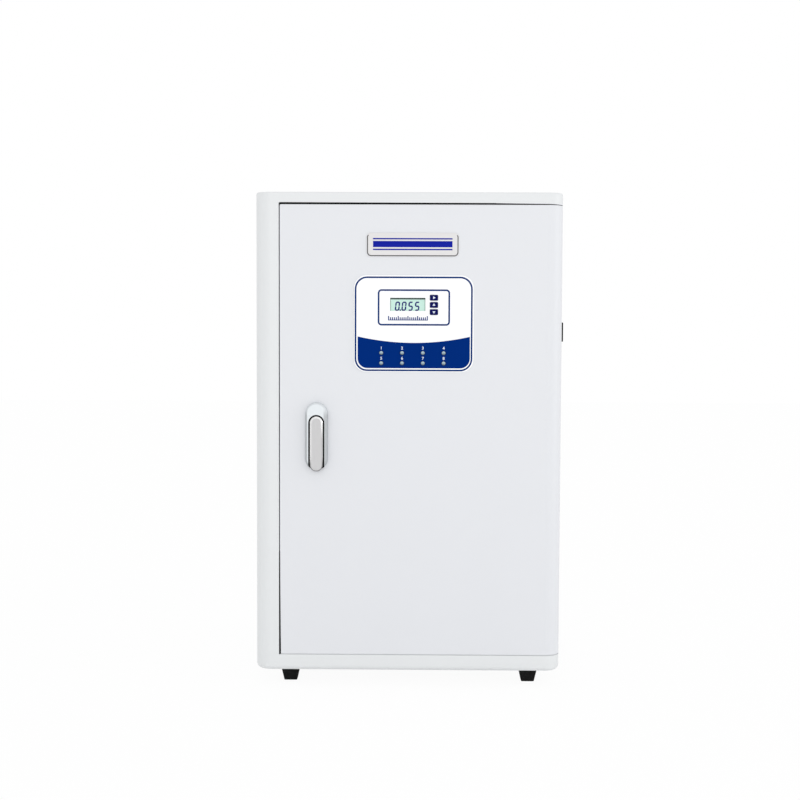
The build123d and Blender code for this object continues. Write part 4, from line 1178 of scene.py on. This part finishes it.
def ribs(middle, radius, height, count):
    """Upright rounded ribs in a circle round a middle."""
    mesh = bmesh.new()
    place = Matrix.Translation(middle + Vector((radius, 0, 0)))
    size = Matrix.Diagonal((RIB_REACH, RIB_WIDTH, height, 1))
    bmesh.ops.create_cube(mesh, size=1, matrix=place @ size)
    bmesh.ops.bevel(mesh, geom=mesh.edges[:], offset=RIB_ROUND, offset_type="OFFSET", affect="EDGES",
                    segments=2, profile=0.5, material=-1)
    bmesh.ops.spin(mesh, geom=everything(mesh), cent=middle, axis=(0, 0, 1),
                   angle=2 * pi * (count - 1) / count, steps=count - 1, use_duplicate=True)
    return mesh


for name in ("sediment", "carbon"):
    low, high = corners(name + "_filter_sump")
    middle = (low + high) / 2
    middle.z = high.z - COLLAR_HEIGHT / 2
    radius = (high.x - low.x) / 2
    print(name, "collar radius", round(radius, 4))
    collar = ribs(middle, radius, COLLAR_HEIGHT, COLLAR_RIBS)
    new_piece(name + "_collar_ribs", collar, clear_bowl, "cabinet")

# %% Motor bands
BAND_WIDTH = 0.008
BAND_THICKNESS = 0.0009
BAND_INSET = 0.016
BAND_STEPS = 72
MOTOR_RADIUS = 0.036


def band(axis, x):
    """A steel band round the motor, whose axis runs along x."""
    mesh = bmesh.new()
    bar(mesh, x, axis.y + MOTOR_RADIUS + BAND_THICKNESS / 2, BAND_WIDTH, BAND_THICKNESS)
    bmesh.ops.translate(mesh, vec=(0, 0, axis.z), verts=mesh.verts)
    bmesh.ops.spin(mesh, geom=everything(mesh), cent=(x, axis.y, axis.z), axis=(1, 0, 0), angle=2 * pi,
                   steps=BAND_STEPS, use_merge=True)
    hidden = [face for face in mesh.faces if all(len(edge.link_faces) > 2 for edge in face.edges)]
    bmesh.ops.delete(mesh, geom=hidden, context="FACES_ONLY")
    return mesh


low, high = corners("pump_motor")
motor_axis = (low + high) / 2
for name, x in (("left", low.x + BAND_INSET), ("right", high.x - BAND_INSET)):
    new_piece(name + "_motor_band", band(motor_axis, x), zinc, "cabinet")

# %% [markdown]
# ## Stage and light
# The picture has a plain white background with hardly a shadow. The floor and the world are white to the
# camera, to reflections and to clear plastic, and the floor keeps a share of real shading for the
# shadow. The light itself is soft: an even world, a broad lamp before the door and a weaker one at the
# right, at a level where a colour comes out about as it is written.

# %% Floor and world
FLOOR_SIDE = 14.0
FLOOR_COLOUR = (0.95, 0.95, 0.95, 1)
FLOOR_ROUGHNESS = 0.9
WHITE = (1.0, 1.0, 1.0, 1)
SHADOW_SHARE = 0.05
WORLD_LEVEL = 0.895


def seen_directly(wire):
    """1 for rays that show the background: from the camera, a reflection or clear plastic."""
    rays = [wire.add("ShaderNodeLightPath", output=name)
            for name in ("Is Camera Ray", "Is Glossy Ray", "Is Transmission Ray")]
    return wire.math("MINIMUM", rays[0] + rays[1] + rays[2], 1.0)


def floor_material():
    material = bpy.data.materials.new("floor_white")
    material.use_nodes = True
    tree = material.node_tree
    wire = Wire(tree)
    shader = tree.nodes["Principled BSDF"]
    shader.inputs["Base Color"].default_value = FLOOR_COLOUR
    shader.inputs["Roughness"].default_value = FLOOR_ROUGHNESS
    glow = wire.add("ShaderNodeEmission", None, {"Color": WHITE, "Strength": 1.0})
    share = seen_directly(wire) * (1 - SHADOW_SHARE)
    mixed = wire.add("ShaderNodeMixShader", None, {0: share, 1: Wire(tree, shader.outputs[0]), 2: glow})
    tree.links.new(mixed.socket, tree.nodes["Material Output"].inputs["Surface"])
    return material


def white_world():
    world = bpy.data.worlds.new("studio")
    bpy.context.scene.world = world
    world.use_nodes = True
    background = world.node_tree.nodes["Background"]
    background.inputs["Color"].default_value = WHITE
    level = seen_directly(Wire(world.node_tree)) * (1 - WORLD_LEVEL) + WORLD_LEVEL
    world.node_tree.links.new(level.socket, background.inputs["Strength"])


floor_sheet = bmesh.new()
bar(floor_sheet, 0, 0, FLOOR_SIDE, FLOOR_SIDE)
new_object("floor", floor_sheet, floor_material())
white_world()
print("floor", FLOOR_SIDE, "m across")

# %% Lamps
LAMPS = {
    "key_lamp": {"place": (0.1, -4.5, 0.45), "size": 3.0, "power": 37.0},
    "side_lamp": {"place": (3.0, -1.0, 0.9), "size": 1.6, "power": 10.0},
}


def soft_lamp(name, aim, place, size, power):
    lamp = bpy.data.lights.new(name, "AREA")
    lamp.shape = "DISK"
    lamp.size = size
    lamp.energy = power
    holder = bpy.data.objects.new(name, lamp)
    holder.location = place
    holder.rotation_euler = (aim - Vector(place)).to_track_quat("-Z", "Y").to_euler()
    bpy.context.scene.collection.objects.link(holder)


low_corner, high_corner = construction_box
for name, lamp in LAMPS.items():
    soft_lamp(name, (low_corner + high_corner) / 2, **lamp)
bpy.context.scene.view_settings.view_transform = "Standard"
print(len(LAMPS), "soft lamps")
